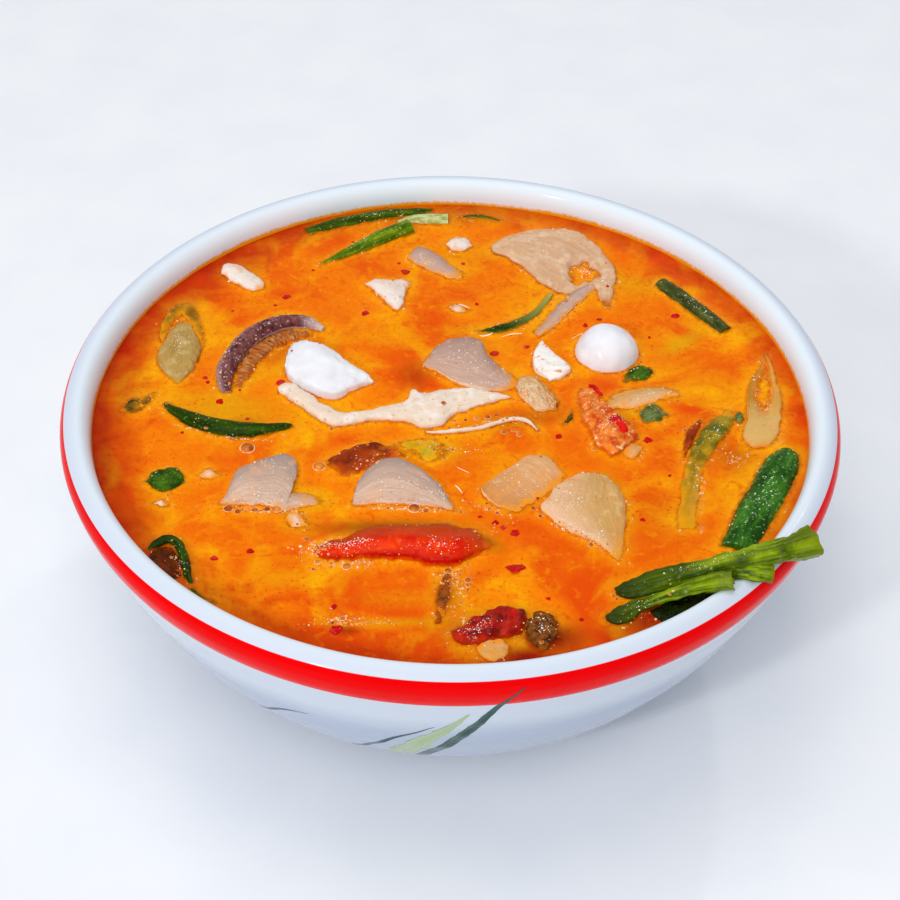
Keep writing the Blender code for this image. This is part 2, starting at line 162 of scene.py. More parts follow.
def curve_through(points, steps):
    """Evenly spaced points along a smooth curve through the given ones, steps + 1 of them."""
    knots = [Vector(point) for point in points]
    fine = []
    for span in range(len(knots) - 1):
        picks = (span - 1, span, span + 1, span + 2)
        a, b, c, d = (knots[min(max(i, 0), len(knots) - 1)] for i in picks)
        for step in range(CURVE_STEPS):
            t = step / CURVE_STEPS
            fine.append(0.5 * (2 * b + (c - a) * t + (2 * a - 5 * b + 4 * c - d) * t * t
                               + (3 * b - a - 3 * c + d) * t ** 3))
    fine.append(knots[-1])
    reach = [0.0]
    for a, b in zip(fine, fine[1:]):
        reach.append(reach[-1] + math.dist(a[:3], b[:3]))
    even, at = [], 0
    for step in range(steps + 1):
        goal = reach[-1] * step / steps
        while at < len(fine) - 2 and reach[at + 1] < goal:
            at += 1
        gap = reach[at + 1] - reach[at]
        even.append(fine[at].lerp(fine[at + 1], min((goal - reach[at]) / gap, 1.0) if gap else 0.0))
    return even


def add_piece(name, bm, material, nodes=(), sharp=50):
    """Turns a mesh in millimetres into a piece on the root body, shaded smooth up to a sharp angle."""
    bmesh.ops.scale(bm, vec=(MM, MM, MM), verts=bm.verts)
    mesh = bpy.data.meshes.new(name)
    bm.to_mesh(mesh)
    bm.free()
    mesh.materials.append(material)
    mesh.shade_smooth()
    mesh.set_sharp_from_angle(angle=math.radians(sharp))
    piece = bpy.data.objects.new(name, mesh)
    bpy.context.scene.collection.objects.link(piece)
    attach(piece, "root")
    if nodes:
        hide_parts(*nodes)
    return piece


def close_skin(bm):
    """Merges a skin's seams, fills its open ends and turns its faces outwards."""
    bmesh.ops.remove_doubles(bm, verts=bm.verts, dist=0.002)
    rims = [edge for edge in bm.edges if edge.is_boundary]
    if rims:
        bmesh.ops.holes_fill(bm, edges=rims)
    bmesh.ops.recalc_face_normals(bm, faces=bm.faces)


def quarter(centre, radii, start, end):
    """Profile points round an ellipse from one angle to another, in degrees."""
    turns = [math.radians(start + (end - start) * i / LIP_STEPS) for i in range(LIP_STEPS + 1)]
    return [(centre[0] + radii[0] * math.cos(t), centre[1] + radii[1] * math.sin(t)) for t in turns]


OUTER_WALL = curve_through([(radius, RIM_HEIGHT - drop) for radius, drop in WALL_OUTSIDE], 96)


def wall_radius(height, angle):
    """Radius of the outer wall at a height and an angle, with its soft ridges."""
    below = next((i for i, point in enumerate(OUTER_WALL) if point[1] <= height), len(OUTER_WALL) - 1)
    upper, lower = OUTER_WALL[max(below - 1, 0)], OUTER_WALL[below]
    fall = upper[1] - lower[1]
    radius = upper[0] + (lower[0] - upper[0]) * ((upper[1] - height) / fall if fall else 0)
    drop = RIM_HEIGHT - height
    for at, swing, turns, size in RIDGES:
        radius += size * math.exp(-((drop - at - swing * math.sin(turns * angle + at)) / RIDGE_WIDTH) ** 2)
    return radius


def bowl_profile():
    """The bowl's section: up the outside from the foot, over the lip and down the inside."""
    inner_foot = FOOT_RADIUS - FOOT_WIDTH
    foot = [(0, FOOT_RECESS), (inner_foot - 2, FOOT_RECESS), (inner_foot, FOOT_RECESS - 1),
            (inner_foot, 0.6), (inner_foot + 0.6, 0), (FOOT_RADIUS - 0.6, 0), (FOOT_RADIUS, 0.6)]
    inside = [(CREST_RADIUS - LIP_IN, RIM_HEIGHT - LIP_IN_DROP)]
    inside += [(r, RIM_HEIGHT - drop) for r, drop in WALL_INSIDE] + [(0, RIM_HEIGHT - FLOOR_DROP)]
    lip_out = quarter((CREST_RADIUS, RIM_HEIGHT - LIP_OUT_DROP), (LIP_OUT, LIP_OUT_DROP), 0, 90)
    lip_in = quarter((CREST_RADIUS, RIM_HEIGHT - LIP_IN_DROP), (LIP_IN, LIP_IN_DROP), 90, 180)
    walls = [tuple(point) for point in OUTER_WALL[::-1]], [tuple(p) for p in curve_through(inside, 40)]
    return foot + walls[0] + lip_out[1:] + lip_in[1:] + walls[1][1:]


def turned(profile, steps):
    """A closed skin turned from a profile of (radius, height) that starts and ends on the axis."""
    bm = bmesh.new()
    verts = [bm.verts.new((radius, 0, height)) for radius, height in profile]
    edges = [bm.edges.new(pair) for pair in zip(verts, verts[1:])]
    bmesh.ops.spin(bm, geom=verts + edges, cent=(0, 0, 0), axis=(0, 0, 1), angle=2 * math.pi,
                   steps=steps, use_merge=True)
    close_skin(bm)
    return bm


# Melamine: a hard glazed-looking plastic, white, glossy but softer than china; its outside is painted a cool
# grey shade.
melamine = new_material("white melamine with a red printed band")
place = add_node(melamine, "ShaderNodeTexCoord").outputs["Object"]
height = add_node(melamine, "ShaderNodeSeparateXYZ", {0: place}).outputs["Z"]
flat = add_node(melamine, "ShaderNodeVectorMath", {0: place, 1: (1, 1, 0)}, operation="MULTIPLY")
radius = add_node(melamine, "ShaderNodeVectorMath", {0: flat.outputs[0]}, operation="LENGTH").outputs["Value"]
outside = add_node(melamine, "ShaderNodeMath", {0: radius, 1: CREST_RADIUS * MM}, operation="GREATER_THAN")
# Painted light and shade: the lip's inner side and the inner wall are painted whiter, the outside greyer.
white = two_tone(melamine, radius, "EDF7FC", "D6DDE8", (CREST_RADIUS - 3.0) * MM, (CREST_RADIUS + 2.5) * MM,
                 "SMOOTHSTEP")
# Painted shade: the wall under the band is greyer than the lip, as if the lip shaded it.
white = two_tone(melamine, height, white, "B6C1D5", (RIM_HEIGHT - 8) * MM, (RIM_HEIGHT - 34) * MM,
                 "SMOOTHSTEP")
# Broth has dried in a thin uneven line on the inner wall, speckled finely and swinging slowly round it.
tide = height
for size, detail, swing in ((1.11, 5.0, -1.4), (33.3, 1.0, -1.6)):
    tide = add_node(melamine, "ShaderNodeMath", {0: mottling(melamine, size, detail), 1: swing * MM, 2: tide},
                    operation="MULTIPLY_ADD").outputs[0]
stained = two_tone(melamine, tide, white, "F0A00A", (BROTH_LEVEL + 0.5) * MM, (BROTH_LEVEL - 0.5) * MM)
above = add_node(melamine, "ShaderNodeMath", {0: height, 1: (BROTH_LEVEL - 2) * MM}, operation="GREATER_THAN")
inner = two_tone(melamine, above.outputs[0], white, stained, 0.0, 1.0)
# The band is red ink with soft edges, a little uneven in its depth of colour.
red = two_tone(melamine, mottling(melamine, 28.6, 2.0), "E80002", "FA0004", 0.0, 1.0)
printed = two_tone(melamine, height, white, red, (RIM_HEIGHT - BAND_BOTTOM) * MM,
                   (RIM_HEIGHT - BAND_BOTTOM + INK_EDGE) * MM)
printed = two_tone(melamine, height, printed, white, (RIM_HEIGHT - BAND_TOP - INK_EDGE) * MM,
                   (RIM_HEIGHT - BAND_TOP) * MM)
body = two_tone(melamine, outside.outputs[0], inner, printed, 0.0, 1.0)
# Moulding leaves a barely uneven skin, which bends the reflections along the wall.
surface(melamine, Base_Color=body, Normal=bumps(melamine, (mottling(melamine, 11.1, 1.0), 0.15)),
        Roughness=0.1, IOR=1.5, Specular_IOR_Level=0.06)
shell = turned(bowl_profile(), TURN_STEPS)
for vert in shell.verts:
    plain = math.hypot(vert.co.x, vert.co.y)
    at_wall = RIM_HEIGHT - 70 < vert.co.z < RIM_HEIGHT - LIP_OUT_DROP and plain > OUTER_WALL[-1][0]
    if at_wall and abs(plain - wall_radius(vert.co.z, 0)) < 1.2:
        grown = wall_radius(vert.co.z, math.atan2(vert.co.x, -vert.co.y)) / plain
        vert.co = (vert.co.x * grown, vert.co.y * grown, vert.co.z)
add_piece("bowl_shell", shell, melamine, ["bowl"])

# --- Painted blades -----------------------------------------------------------------------------
# Plain grass-like strokes printed on the wall under the band, at the front. Each is a film that
# follows the wall, from its root near the foot to its tip: (degrees from the front, drop), width.
FILM = 0.05  # how far the print stands proud
BLADES = (
    ("blade_broad", ((-5.2, 60), (-3.6, 52), (0.4, 38.5), (3.9, 25), (7.4, 10), (10.2, 3.4)),
     (1.4, 3.2, 3.6, 3.2, 1.6, 0.3), "243E42", "447060"),
    ("blade_slim", ((-19, 60), (-15.4, 53), (-8.4, 36.6), (-1.6, 24.4)), (0.6, 1.3, 1.5, 0.25), "223848",
     "385E5C"),
    ("blade_far", ((-36, 52), (-31, 43), (-26, 35), (-21.2, 30.6)), (0.6, 1.2, 1.2, 0.2), "1E3042",
     "36525E"),
    ("blade_pale", ((-9.5, 60), (-7.4, 50), (-3.4, 36), (0.2, 25.5), (3.2, 15.5)),
     (3.0, 7.6, 6.4, 3.6, 0.5), "A9BE8C", "B9C9A8"))


def blade_skin(path, widths):
    """A thin film on the wall; it sinks into the melamine underneath so that no gap shows."""
    rows, columns = 60, 12
    line = curve_through([(*point, width) for point, width in zip(path, widths)], rows)
    bm = bmesh.new()
    bm.loops.layers.uv.new("UVMap")
    bmesh.ops.create_grid(bm, x_segments=rows, y_segments=2 * columns, size=0.5, calc_uvs=True)
    for vert in bm.verts:
        row = round((vert.co.x + 0.5) * rows)
        turn = 2 * math.pi * (vert.co.y + 0.5)
        angle, drop, width = line[row]
        ragged = 1 + 0.25 * noise.noise(Vector((row * 0.35, math.copysign(3, math.cos(turn)), width)))
        slide = -math.cos(turn) * width * 0.5 * ragged
        height = RIM_HEIGHT - drop
        wall = wall_radius(height, math.radians(angle))
        theta = math.radians(angle) + slide / wall
        reach = wall + (FILM if turn < math.pi else -3 * FILM)
        vert.co = (reach * math.sin(theta), -reach * math.cos(theta), height)
    close_skin(bm)
    return bm


def fibres(material, along, across, detail=3.0):
    """A streaky pattern that follows a piece's length, from 0 to 1."""
    uv = add_node(material, "ShaderNodeTexCoord").outputs["UV"]
    drawn = add_node(material, "ShaderNodeMapping", {"Vector": uv, "Scale": (along, across, 1)}).outputs[0]
    sockets = {"Vector": drawn, "Scale": 1.0, "Detail": detail, "Roughness": 0.6}
    return add_node(material, "ShaderNodeTexNoise", sockets).outputs["Fac"]


def print_ink(name, dark, light):
    """Printing ink: two greens in long brush streaks, as glossy as the melamine."""
    ink = new_material(name)
    surface(ink, Base_Color=two_tone(ink, fibres(ink, 2.5, 26), dark, light, 0.42, 0.6), Roughness=0.12,
            Specular_IOR_Level=0.06)
    return ink


for name, path, widths, dark, light in BLADES:
    add_piece(name, blade_skin(path, widths), print_ink("printed " + name, dark, light))

# --- Scalded onion and shallot ------------------------------------------------------------------
# Petals, strips and scraps of onion, scalded till glassy: pinkish or golden, veined along their
# length, with a pale cut edge that is partly a painted highlight, patches of painted sheen and one side
# in a tone painted for the light on it. Petals and scraps are lofted between two edges, strips run along
# a path, and each lies half sunk in the broth, where its solid is.
noise.seed_set(5)  # so that the pieces' edges wander alike in every run


def between(values, share):
    """The value at a share from 0 to 1 along a list, eased from one to the next."""
    if isinstance(values, (int, float)):
        return values
    place = share * (len(values) - 1)
    index = min(int(place), len(values) - 2)
    t = place - index
    return values[index] + (values[index + 1] - values[index]) * t * t * (3 - 2 * t)


def roughen(bm, seed, *layers):
    """Makes a surface uneven; each layer is the size and the depth of its bumps."""
    bm.normal_update()
    shift = Vector((seed * 7.3, seed * 3.1, seed * 5.7))
    for vert in bm.verts:
        vert.co += vert.normal * sum(depth * noise.noise(vert.co / size + shift) for size, depth in layers)


def add_food(name, bm, flesh, slot, seed=0, *layers, solid=True):
    """Roughens a skin and adds it; its name is its solid's name and then what it is made of."""
    roughen(bm, seed, *layers)
    add_piece(name, bm, flesh, [name.rpartition("_")[0]] if solid else [])


def floating_slab(left, right, dome, rims=(0.3, 0.3), relief=None, sink=2.5, fullness=0.6, rows=56,
                  columns=24):
    """A piece afloat between two edges; dome and the rims' heights run along its length."""
    left_edge, right_edge = curve_through(left, rows), curve_through(right, rows)
    bm = bmesh.new()
    bm.loops.layers.uv.new("UVMap")
    bmesh.ops.create_grid(bm, x_segments=rows, y_segments=2 * columns, size=0.5, calc_uvs=True)
    for vert in bm.verts:
        along = vert.co.x + 0.5
        turn = 2 * math.pi * (vert.co.y + 0.5)
        across = (1 - math.cos(turn)) / 2
        row = round(along * rows)
        plan = left_edge[row].lerp(right_edge[row], across)
        plan = Vector((plan.x, plan.y, sink))
        plan += 0.45 * noise.noise_vector(plan / 2.4) + 0.15 * noise.noise_vector(plan / 0.9)
        swell = abs(math.sin(turn)) ** fullness
        edge = between(rims[0], along) * (1 - across) + between(rims[1], along) * across
        height = edge - (sink + edge) * swell
        if vert.co.y <= 0:
            height = edge + (between(dome, along) + (relief(along, across) if relief else 0)) * swell
        vert.co = (plan.x, plan.y, BROTH_LEVEL + height)
    close_skin(bm)
    return bm


def veins(count, depth, wander=0.5):
    """Fine ribs along a piece."""
    return lambda along, across: depth * math.sin(
        2 * math.pi * count * across + wander * 6 * noise.noise(Vector((along * 5, across * 7, count))))


def ridge(at, width, height):
    """A fold along a piece, strongest half way."""
    return lambda along, across: height * math.exp(-((across - at) / width) ** 2) * math.sin(math.pi * along)


def hollow(depth, along_at, long, across_at, wide):
    """An oval pit in a piece."""
    return lambda along, across: -depth * math.exp(-((along - along_at) / long) ** 2
                                                   - ((across - across_at) / wide) ** 2)


def place_along(material, axis):
    """How far along (X) or around (Y) a piece a point is, from 0 to 1."""
    uv = add_node(material, "ShaderNodeTexCoord").outputs["UV"]
    return add_node(material, "ShaderNodeSeparateXYZ", {0: uv}).outputs[axis]


def soaked(material, colour, broth, depth):
    """The colour of a piece that fades to broth where the broth laps over its low parts."""
    place = add_node(material, "ShaderNodeTexCoord").outputs["Object"]
    height = add_node(material, "ShaderNodeSeparateXYZ", {0: place}).outputs["Z"]
    lap = mottling(material, 3.03, 4.0, Roughness=0.65)
    raised = add_node(material, "ShaderNodeMath", {0: lap, 1: -2.4 * depth * MM, 2: height},
                      operation="MULTIPLY_ADD")
    return two_tone(material, raised.outputs[0], colour, broth, (BROTH_LEVEL + 0.15 * depth) * MM,
                    (BROTH_LEVEL - 1.1 * depth) * MM, "SMOOTHSTEP")


def wet_food(material, body, broth, depth, layers, **looks):
    """Closes a food's material: soaked at its low parts, bumpy, and glossy with broth."""
    surface(material, Base_Color=soaked(material, body, broth, depth), Normal=bumps(material, *layers),
            **{"Roughness": 0.16, "IOR": 1.36, **looks})
    return material


def onion_flesh(name, dark, light, edge="FFE9C8", lines=120, broth="F59A10", blush="F0A050",
                shade=None, tip=None):
    """Scalded onion: glassy flesh, streaked along its veins, with a pale cut edge that is partly a painted
    highlight, patches of painted sheen, one side in a painted tone, and a wet gloss.
    """
    flesh = new_material(name)
    streak = fibres(flesh, 2, lines)
    body = two_tone(flesh, streak, dark, light, 0.18, 0.72)
    # The first edge's side is painted in another tone for the light on it: most sorts darker, as painted
    # shade, the yellow onion lighter.
    body = two_tone(flesh, place_along(flesh, "Y"), shade or dark, body, 0.06, 0.3)
    if tip:
        body = two_tone(flesh, place_along(flesh, "X"), body, tip, 0.5, 0.75)
    body = two_tone(flesh, mottling(flesh, 5.0, 5.0), body, blush, 0.56, 0.78)
    # Pale patches in the edge colour are painted sheen.
    body = two_tone(flesh, mottling(flesh, 2.6, 4.0), body, edge, 0.6, 1.0)
    # The top runs from 0 to 0.5 round the skin, so both its edges are 0.25 from the middle of it.
    off = add_node(flesh, "ShaderNodeMath", {0: place_along(flesh, "Y"), 1: 0.25}, operation="SUBTRACT")
    out = add_node(flesh, "ShaderNodeMath", {0: off.outputs[0]}, operation="ABSOLUTE")
    # The pale cut edge is partly the cut and partly a painted highlight along it.
    body = two_tone(flesh, out.outputs[0], body, edge, 0.21, 0.235)
    return wet_food(flesh, body, broth, 1.0, ((streak, 0.012), (mottling(flesh, 0.8, 2.0), 0.2)),
                    Roughness=0.13, Specular_IOR_Level=0.28, Subsurface_Weight=0.1,
                    Subsurface_Radius=(2e-3, 1e-3, 5e-4))


# Onion is glassy, so it takes a little light inside and glints; each sort has its own two tones, cut
# edge, and side tone painted for the light on it (painted shade, lighter on the yellow onion).
onion_pink = onion_flesh("scalded red onion", "B68C7A", "DCB6A0", "FFE2BC", 90, blush="E6AE82",
                         shade="A8867A")
onion_grey = onion_flesh("scalded onion, greyish", "BC927A", "E4C2A8", "FFE6CC", 70, blush="ECB488",
                         shade="A48C82")
onion_gold = onion_flesh("scalded yellow onion", "BC8436", "E2B06C", "FFE0A0", shade="EEC09A")
onion_peach = onion_flesh("scalded shallot", "D08848", "F2BC84", "FFD8A0")
onion_amber = onion_flesh("onion steeped in broth", "C07C08", "E8AC4C", "F4C848", broth="F07C06",
                          tip="DDAE62")
onion_cream = onion_flesh("shallot heart", "D0944C", "F8E2BC", "FFF2D8")
onion_white = onion_flesh("raw white onion", "E6CEBC", "FFF2E6", "FFFBF2", 60)

# Name, flesh, left edge, right edge, dome, heights of the two edges, relief.
PETALS = (
    ("onion_petal_pink", onion_pink, [(-8, 19.5), (-5.5, 25), (-2.5, 28.5), (2, 30), (7.5, 30), (10, 24.5),
     (13, 20), (16.5, 16.5), (19, 13.5)], [(-8, 19.5), (-4, 16.5), (-1.5, 14), (1.5, 11.5), (5.5, 10),
     (11, 9), (15.5, 9.5), (19, 12.5)], (0.3, 1.2, 1.5, 1.3, 0.8, 0.2),
     ((0.6, 1.2, 1.5, 1.2, 0.5, -0.1), (0.6, 0.9, 1.0, 0.8, 0.3, -0.1)), veins(12, 0.015)),
    ("onion_petal_yellow", onion_gold, [(37.5, -25), (34.5, -25.5), (31, -28), (27.5, -31), (25.5, -35),
     (23.5, -38.5), (27, -42.5), (30.5, -46), (34.5, -48.5), (38.5, -51), (41, -54), (43.5, -56)],
     [(37.5, -25), (40, -25.5), (42.5, -27.5), (44.5, -30.5), (45.5, -35.5), (45.5, -42.5), (45, -48.5),
     (43.5, -56)], (0.2, 1.5, 2.3, 2.6, 2.2, 1.5, 0.8, 0.1), ((1.0, 1.5, 1.6, 1.1, 0.6, 0.4, 0.3, 0.1),
     (1.0, 0.9, 0.7, 0.4, 0.2, 0.1, 0.0, 0.1)), veins(14, 0.015)),
    ("onion_petal_peach", onion_peach, [(8, -31), (9, -33.5), (11, -36), (14, -38), (17, -39), (20, -38)],
     [(21, -18.5), (24, -18.5), (27, -20), (29, -22.5), (30.5, -25.5), (29, -29)],
     (0.5, 1.3, 1.5, 1.2, 0.6, 0.1), ((0.8, 0.7, 0.4, 0.2, 0.0, -0.4), (1.6, 1.3, 0.9, 0.4, 0.0, -0.4)),
     veins(14, 0.015)),
    ("onion_petal_middle", onion_grey, [(-24.5, -34.5), (-24, -30), (-22.5, -26.5), (-20, -23.5),
     (-17.5, -22), (-14.5, -21.5), (-11, -23), (-7.5, -25.5), (-5, -28), (-2.5, -31), (-0.5, -35),
     (1.5, -39)], [(-24.5, -34.5), (-25, -37.5), (-20.5, -37.5), (-17, -37), (-12.5, -37), (-8, -37.5),
     (-3.5, -38), (1.5, -39)], (0.2, 1.5, 2.4, 2.8, 2.6, 1.8, 0.9, 0.1),
     ((0.3, 0.9, 1.4, 1.6, 1.8, 1.5, 1.0, 0.3), (0.3, 0.4, 0.4, 0.4, 0.4, 0.3)), ridge(0.66, 0.07, 0.8)),
    ("onion_petal_left", onion_grey, [(-59.5, -38), (-58, -35), (-57, -31), (-55.5, -27), (-52.5, -24.5),
     (-49.5, -22.5), (-47, -20.5), (-44, -19.5), (-41.5, -20.5), (-40, -24), (-40, -27), (-42.5, -28),
     (-44.5, -29.5), (-43.5, -32), (-41.5, -33.5), (-38, -34), (-35, -34.5), (-33, -36.5)], [(-59.5, -38),
     (-57.5, -38.5), (-55, -38.5), (-50.5, -38.5), (-47, -38.5), (-43.5, -39.5), (-42.5, -40.5),
     (-40.5, -39.5), (-38.5, -38.5), (-35.5, -38), (-33, -36.5)], (0.2, 2.1, 2.3, 1.7, 1.1, 0.8, 0.6, 0.1),
     ((0.4, 1.0, 1.5, 1.2, 0.8, 0.5, 0.3, 0.1), (0.3, 0.4, 0.4, 0.3, 0.2)), veins(3, 0.14, 0.9)),
    ("onion_petal_back", onion_white, [(-25.5, 56.3), (-22, 57.3), (-19, 57), (-15.5, 57.6), (-12.4, 58.2)],
     [(-25.5, 56.3), (-20.4, 50), (-15.9, 44), (-13.6, 50.5), (-12.4, 58.2)], (0.2, 1.3, 1.7, 1.2, 0.2),
     ((0.6, 0.9, 1.0, 0.8, 0.3), (0.5, 0.3, 0.2, 0.3, 0.3)), veins(3, 0.06)),
    ("onion_sliver_back", onion_pink, [(-13.5, 69), (-11, 73.5), (-8, 73), (-4, 69.4), (0.5, 65), (3, 62)],
     [(-13.5, 69), (-10, 66), (-5, 62), (0, 59.5), (2.5, 59.5), (3, 62)], (0.2, 1.0, 1.1, 0.8, 0.2),
     ((0.5, 0.7, 0.6, 0.3, 0.1), (0.5, 0.4, 0.3, 0.2, 0.1)), None),
    ("onion_slice_white", onion_white, [(-67.5, 60), (-67, 63.5), (-63, 63.5), (-58.5, 60), (-55, 56),
     (-54.8, 53.4)], [(-67.5, 60), (-64, 56), (-60, 53.2), (-57, 52.2), (-54.8, 53.4)],
     (0.4, 1.2, 1.3, 1.1, 0.3), ((0.5, 0.6, 0.5, 0.3), (0.4, 0.4, 0.3, 0.3)), None),
    ("shallot_nub_back", onion_white, [(-2.3, 76), (0, 79.2), (3.2, 79.2), (5.5, 75.8)],
     [(-2.3, 76), (0, 73.4), (3.2, 73), (5.5, 75.8)], (0.3, 1.2, 1.2, 0.3), (0.3, 0.3), None),
    ("cream_nub_middle", onion_cream, [(17.5, 10.5), (19, 14), (23, 14.5), (27, 9.5), (29.5, 5),
     (28.5, 1.5)], [(17.5, 10.5), (19, 7), (21, 4), (24, 1), (28.5, 1.5)], (0.5, 1.9, 2.1, 1.5, 0.8, 0.2),
     (0.3, 0.3), veins(2, 0.5, 2.2)),
    ("onion_front", onion_gold, [(7.2, -87), (10, -84.5), (13.4, -84), (15.5, -87)],
     [(7.2, -87), (9, -90.5), (12.5, -91.3), (15.5, -87)], (0.2, 0.6, 0.6, 0.2), (0.2, 0.2), None),
    ("onion_wedge_right", onion_amber, [(88.5, 27), (85.5, 20), (82.5, 13.5), (81, 7), (80.5, -0.5),
     (79, -6.5), (79, -10.5), (82, -13)], [(88.5, 27), (89.5, 21), (90, 15), (90.5, 9.5), (90, 3.5),
     (89.5, -3), (88, -7.5), (84.5, -12.5)], (0.2, 0.5, 0.8, 1.2, 1.5, 1.6, 1.4, 0.3),
     ((0.5, 0.9, 0.9, 0.8, 0.5, 0.3), (0.5, 0.9, 0.9, 0.8, 0.5, 0.3)), hollow(3.4, 0.4, 0.26, 0.5, 0.27)))
for seed, (node, flesh, left, right, dome, rims, relief) in enumerate(PETALS):
    petal = floating_slab(left, right, dome, rims, relief, columns=32)
    add_food(node + "_flesh", petal, flesh, "onion", seed, (6.0, 0.3), (1.8, 0.1))


def grooved(count, depth, sway=0.8):
    """A stem's cross-section with soft grooves along it, which sway from side to side."""
    return lambda along, turn: 1 + depth * math.cos(count * turn + sway * math.sin(5 * along))


def rod(path, halves, rows=60, sides=20, section=None):
    """A skin round a path of (x, y, height over the broth); halves are half widths and heights."""
    stations = [(*(tuple(point) + (0.0,))[:3], *half) for point, half in zip(path, halves)]
    spine = curve_through(stations, rows)
    bm = bmesh.new()
    bm.loops.layers.uv.new("UVMap")
    bmesh.ops.create_grid(bm, x_segments=rows, y_segments=sides, size=0.5, calc_uvs=True)
    for vert in bm.verts:
        row = round((vert.co.x + 0.5) * rows)
        turn = 2 * math.pi * (vert.co.y + 0.5)
        ahead, behind = spine[min(row + 1, rows)], spine[max(row - 1, 0)]
        tangent = (Vector(ahead[:3]) - Vector(behind[:3])).normalized()
        side = tangent.cross(Vector((0, 0, 1))).normalized()
        above = side.cross(tangent)
        girth = section(vert.co.x + 0.5, turn) if section else 1.0
        centre = Vector(spine[row][:3]) + Vector((0, 0, BROTH_LEVEL))
        vert.co = centre + girth * (side * spine[row][3] * math.cos(turn)
                                    + above * spine[row][4] * math.sin(turn))
    close_skin(bm)
    return bm


STRIPS = (
    ("onion_strip_back", onion_pink, [(41, 57.5, 0.2), (36.5, 52.5, 0.6), (32, 46.5, 0.5), (28, 40, 0.3),
     (24, 34, 0)], [(1.3, 0.8), (1.9, 1.0), (2.0, 1.0), (1.9, 0.9), (1.2, 0.6)]),
    ("onion_strip_right", onion_gold, [(42, 2.8, 0), (47, 5.8, 0.2), (53, 8, 0.3), (58, 9.2, 0.3),
     (62.5, 9, 0)], [(0.8, 0.5), (3.2, 0.9), (3.3, 1.0), (2.4, 0.9), (1.0, 0.5)]))
for node, flesh, path, halves in STRIPS:
    strip = rod(path, halves, section=grooved(4, 0.08, 0.0))
    add_food(node + "_flesh", strip, flesh, "onion", len(node), (3.0, 0.25))
# Thin scraps of onion that float between the petals.
SCRAPS = (
    ("onion_scrap_left_flesh", [(-66, -27), (-63.5, -25), (-60, -27)],
     [(-66, -27), (-63, -28.6), (-60, -27)]),
    ("onion_scrap_low_flesh", [(-42.5, -41), (-39.5, -40), (-36, -45)],
     [(-42.5, -41), (-40, -46), (-36, -45)]),
    ("onion_scrap_back_flesh", [(-1, 46), (2, 47), (4.5, 44.5)], [(-1, 46), (1.5, 43.8), (4.5, 44.5)]),
    ("onion_scrap_front_flesh", [(-76.5, -38), (-74.5, -36.8), (-72.5, -38.5)],
     [(-76.5, -38), (-74.5, -40), (-72.5, -38.5)]))
for name, left, right in SCRAPS:
    scrap = floating_slab(left, right, (0.1, 0.7, 0.1), (0.1, 0.1), rows=20, columns=10)
    add_food(name, scrap, onion_white, "onion", solid=False)

# --- Mushrooms ----------------------------------------------------------------------------------
# Oyster mushrooms, boiled soft and pale, and a slice of a dark cap that shows its gills inside.
# Broad pieces are lofted between two edges; the cap, the gills and a sliver are rods.


def mushroom_flesh(name, dark, light, gleam, broth="F0900E", pit="C79A68"):
    """Boiled oyster mushroom: soft fibres and small brown pits, wet on top, with pale patches painted as
    highlights.
    """
    flesh = new_material(name)
    streak = fibres(flesh, 3, 36)
    body = two_tone(flesh, streak, dark, light, 0.1, 0.7)
    # Painted highlight: pale patches of the gleam colour.
    body = two_tone(flesh, mottling(flesh, 3.0), body, gleam, 0.48, 0.8)
    pits = mottling(flesh, 1.2, 2.0)
    body = two_tone(flesh, pits, pit, body, 0.2, 0.36)
    return wet_food(flesh, body, broth, 0.7, ((streak, 0.012), (mottling(flesh, 0.9), 0.16)),
                    Specular_IOR_Level=0.2, Subsurface_Weight=0.08, Subsurface_Radius=(2e-3, 1.2e-3, 6e-4))


# Oyster mushroom: cream to beige and dense, barely translucent, with a thin wet gloss and pale patches
# painted as highlights.
oyster_pale = mushroom_flesh("boiled oyster mushroom", "E6C8A8", "F6E0CA", "FFF6EC")
oyster_beige = mushroom_flesh("oyster mushroom frill", "C8946A", "E4B88E", "F0D0B0", "C4680E", "C08850")
stem_pale = mushroom_flesh("oyster mushroom stem", "9C7220", "C6A058", "D8BC84", "C8960C")

mushroom = floating_slab(
    [(-47.5, 8), (-46, 10.5), (-43.5, 10), (-39, 6), (-35, 1.5), (-31, -1), (-26.5, -1.5), (-20.5, -0.5),
    (-16, 1.5), (-11.8, 3.8), (-10.4, 7.6), (-8.6, 6.2), (-4, 7), (1, 8.5), (6.5, 9), (11, 8), (16.5, 6.5)],
    [(-47.5, 8), (-46.5, 6), (-43.5, 3.5), (-38.5, -1.5), (-33.5, -6), (-30.5, -7), (-26, -5.5),
    (-20.5, -4.5), (-16, -4), (-11, -5), (-7.5, -7), (-2, -5.5), (0.5, -2), (5.5, 1), (11.5, 4.5),
    (16.5, 6.5)], (0.8, 1.6, 1.8, 1.6, 1.4, 1.6, 2.2, 2.3, 1.8, 1.2, 0.2),
    ((0.5, 0.6, 0.5, 0.4, 0.5, 0.9, 0.9, 0.7, 0.3), (0.4, 0.3)), rows=120, columns=34)
add_food("oyster_mushroom_long_flesh", mushroom, oyster_pale, "mushroom_pale", 31, (5.0, 0.5), (1.6, 0.22))

# The big frill at the back is torn open where its stem was, and broth stands in the tear.
def torn_open(along, across):
    """Faint pleats, and a ragged hole of which the middle is at 0.62 of the length."""
    reach = math.hypot((along - 0.62) / 0.105, (across - 0.52) / 0.24)
    ragged = reach + 0.5 * noise.noise(Vector((along * 22, across * 9, 3)))
    return 0.05 * math.sin(60 * across + 5 * along) - 3.2 * math.exp(-ragged ** 4)


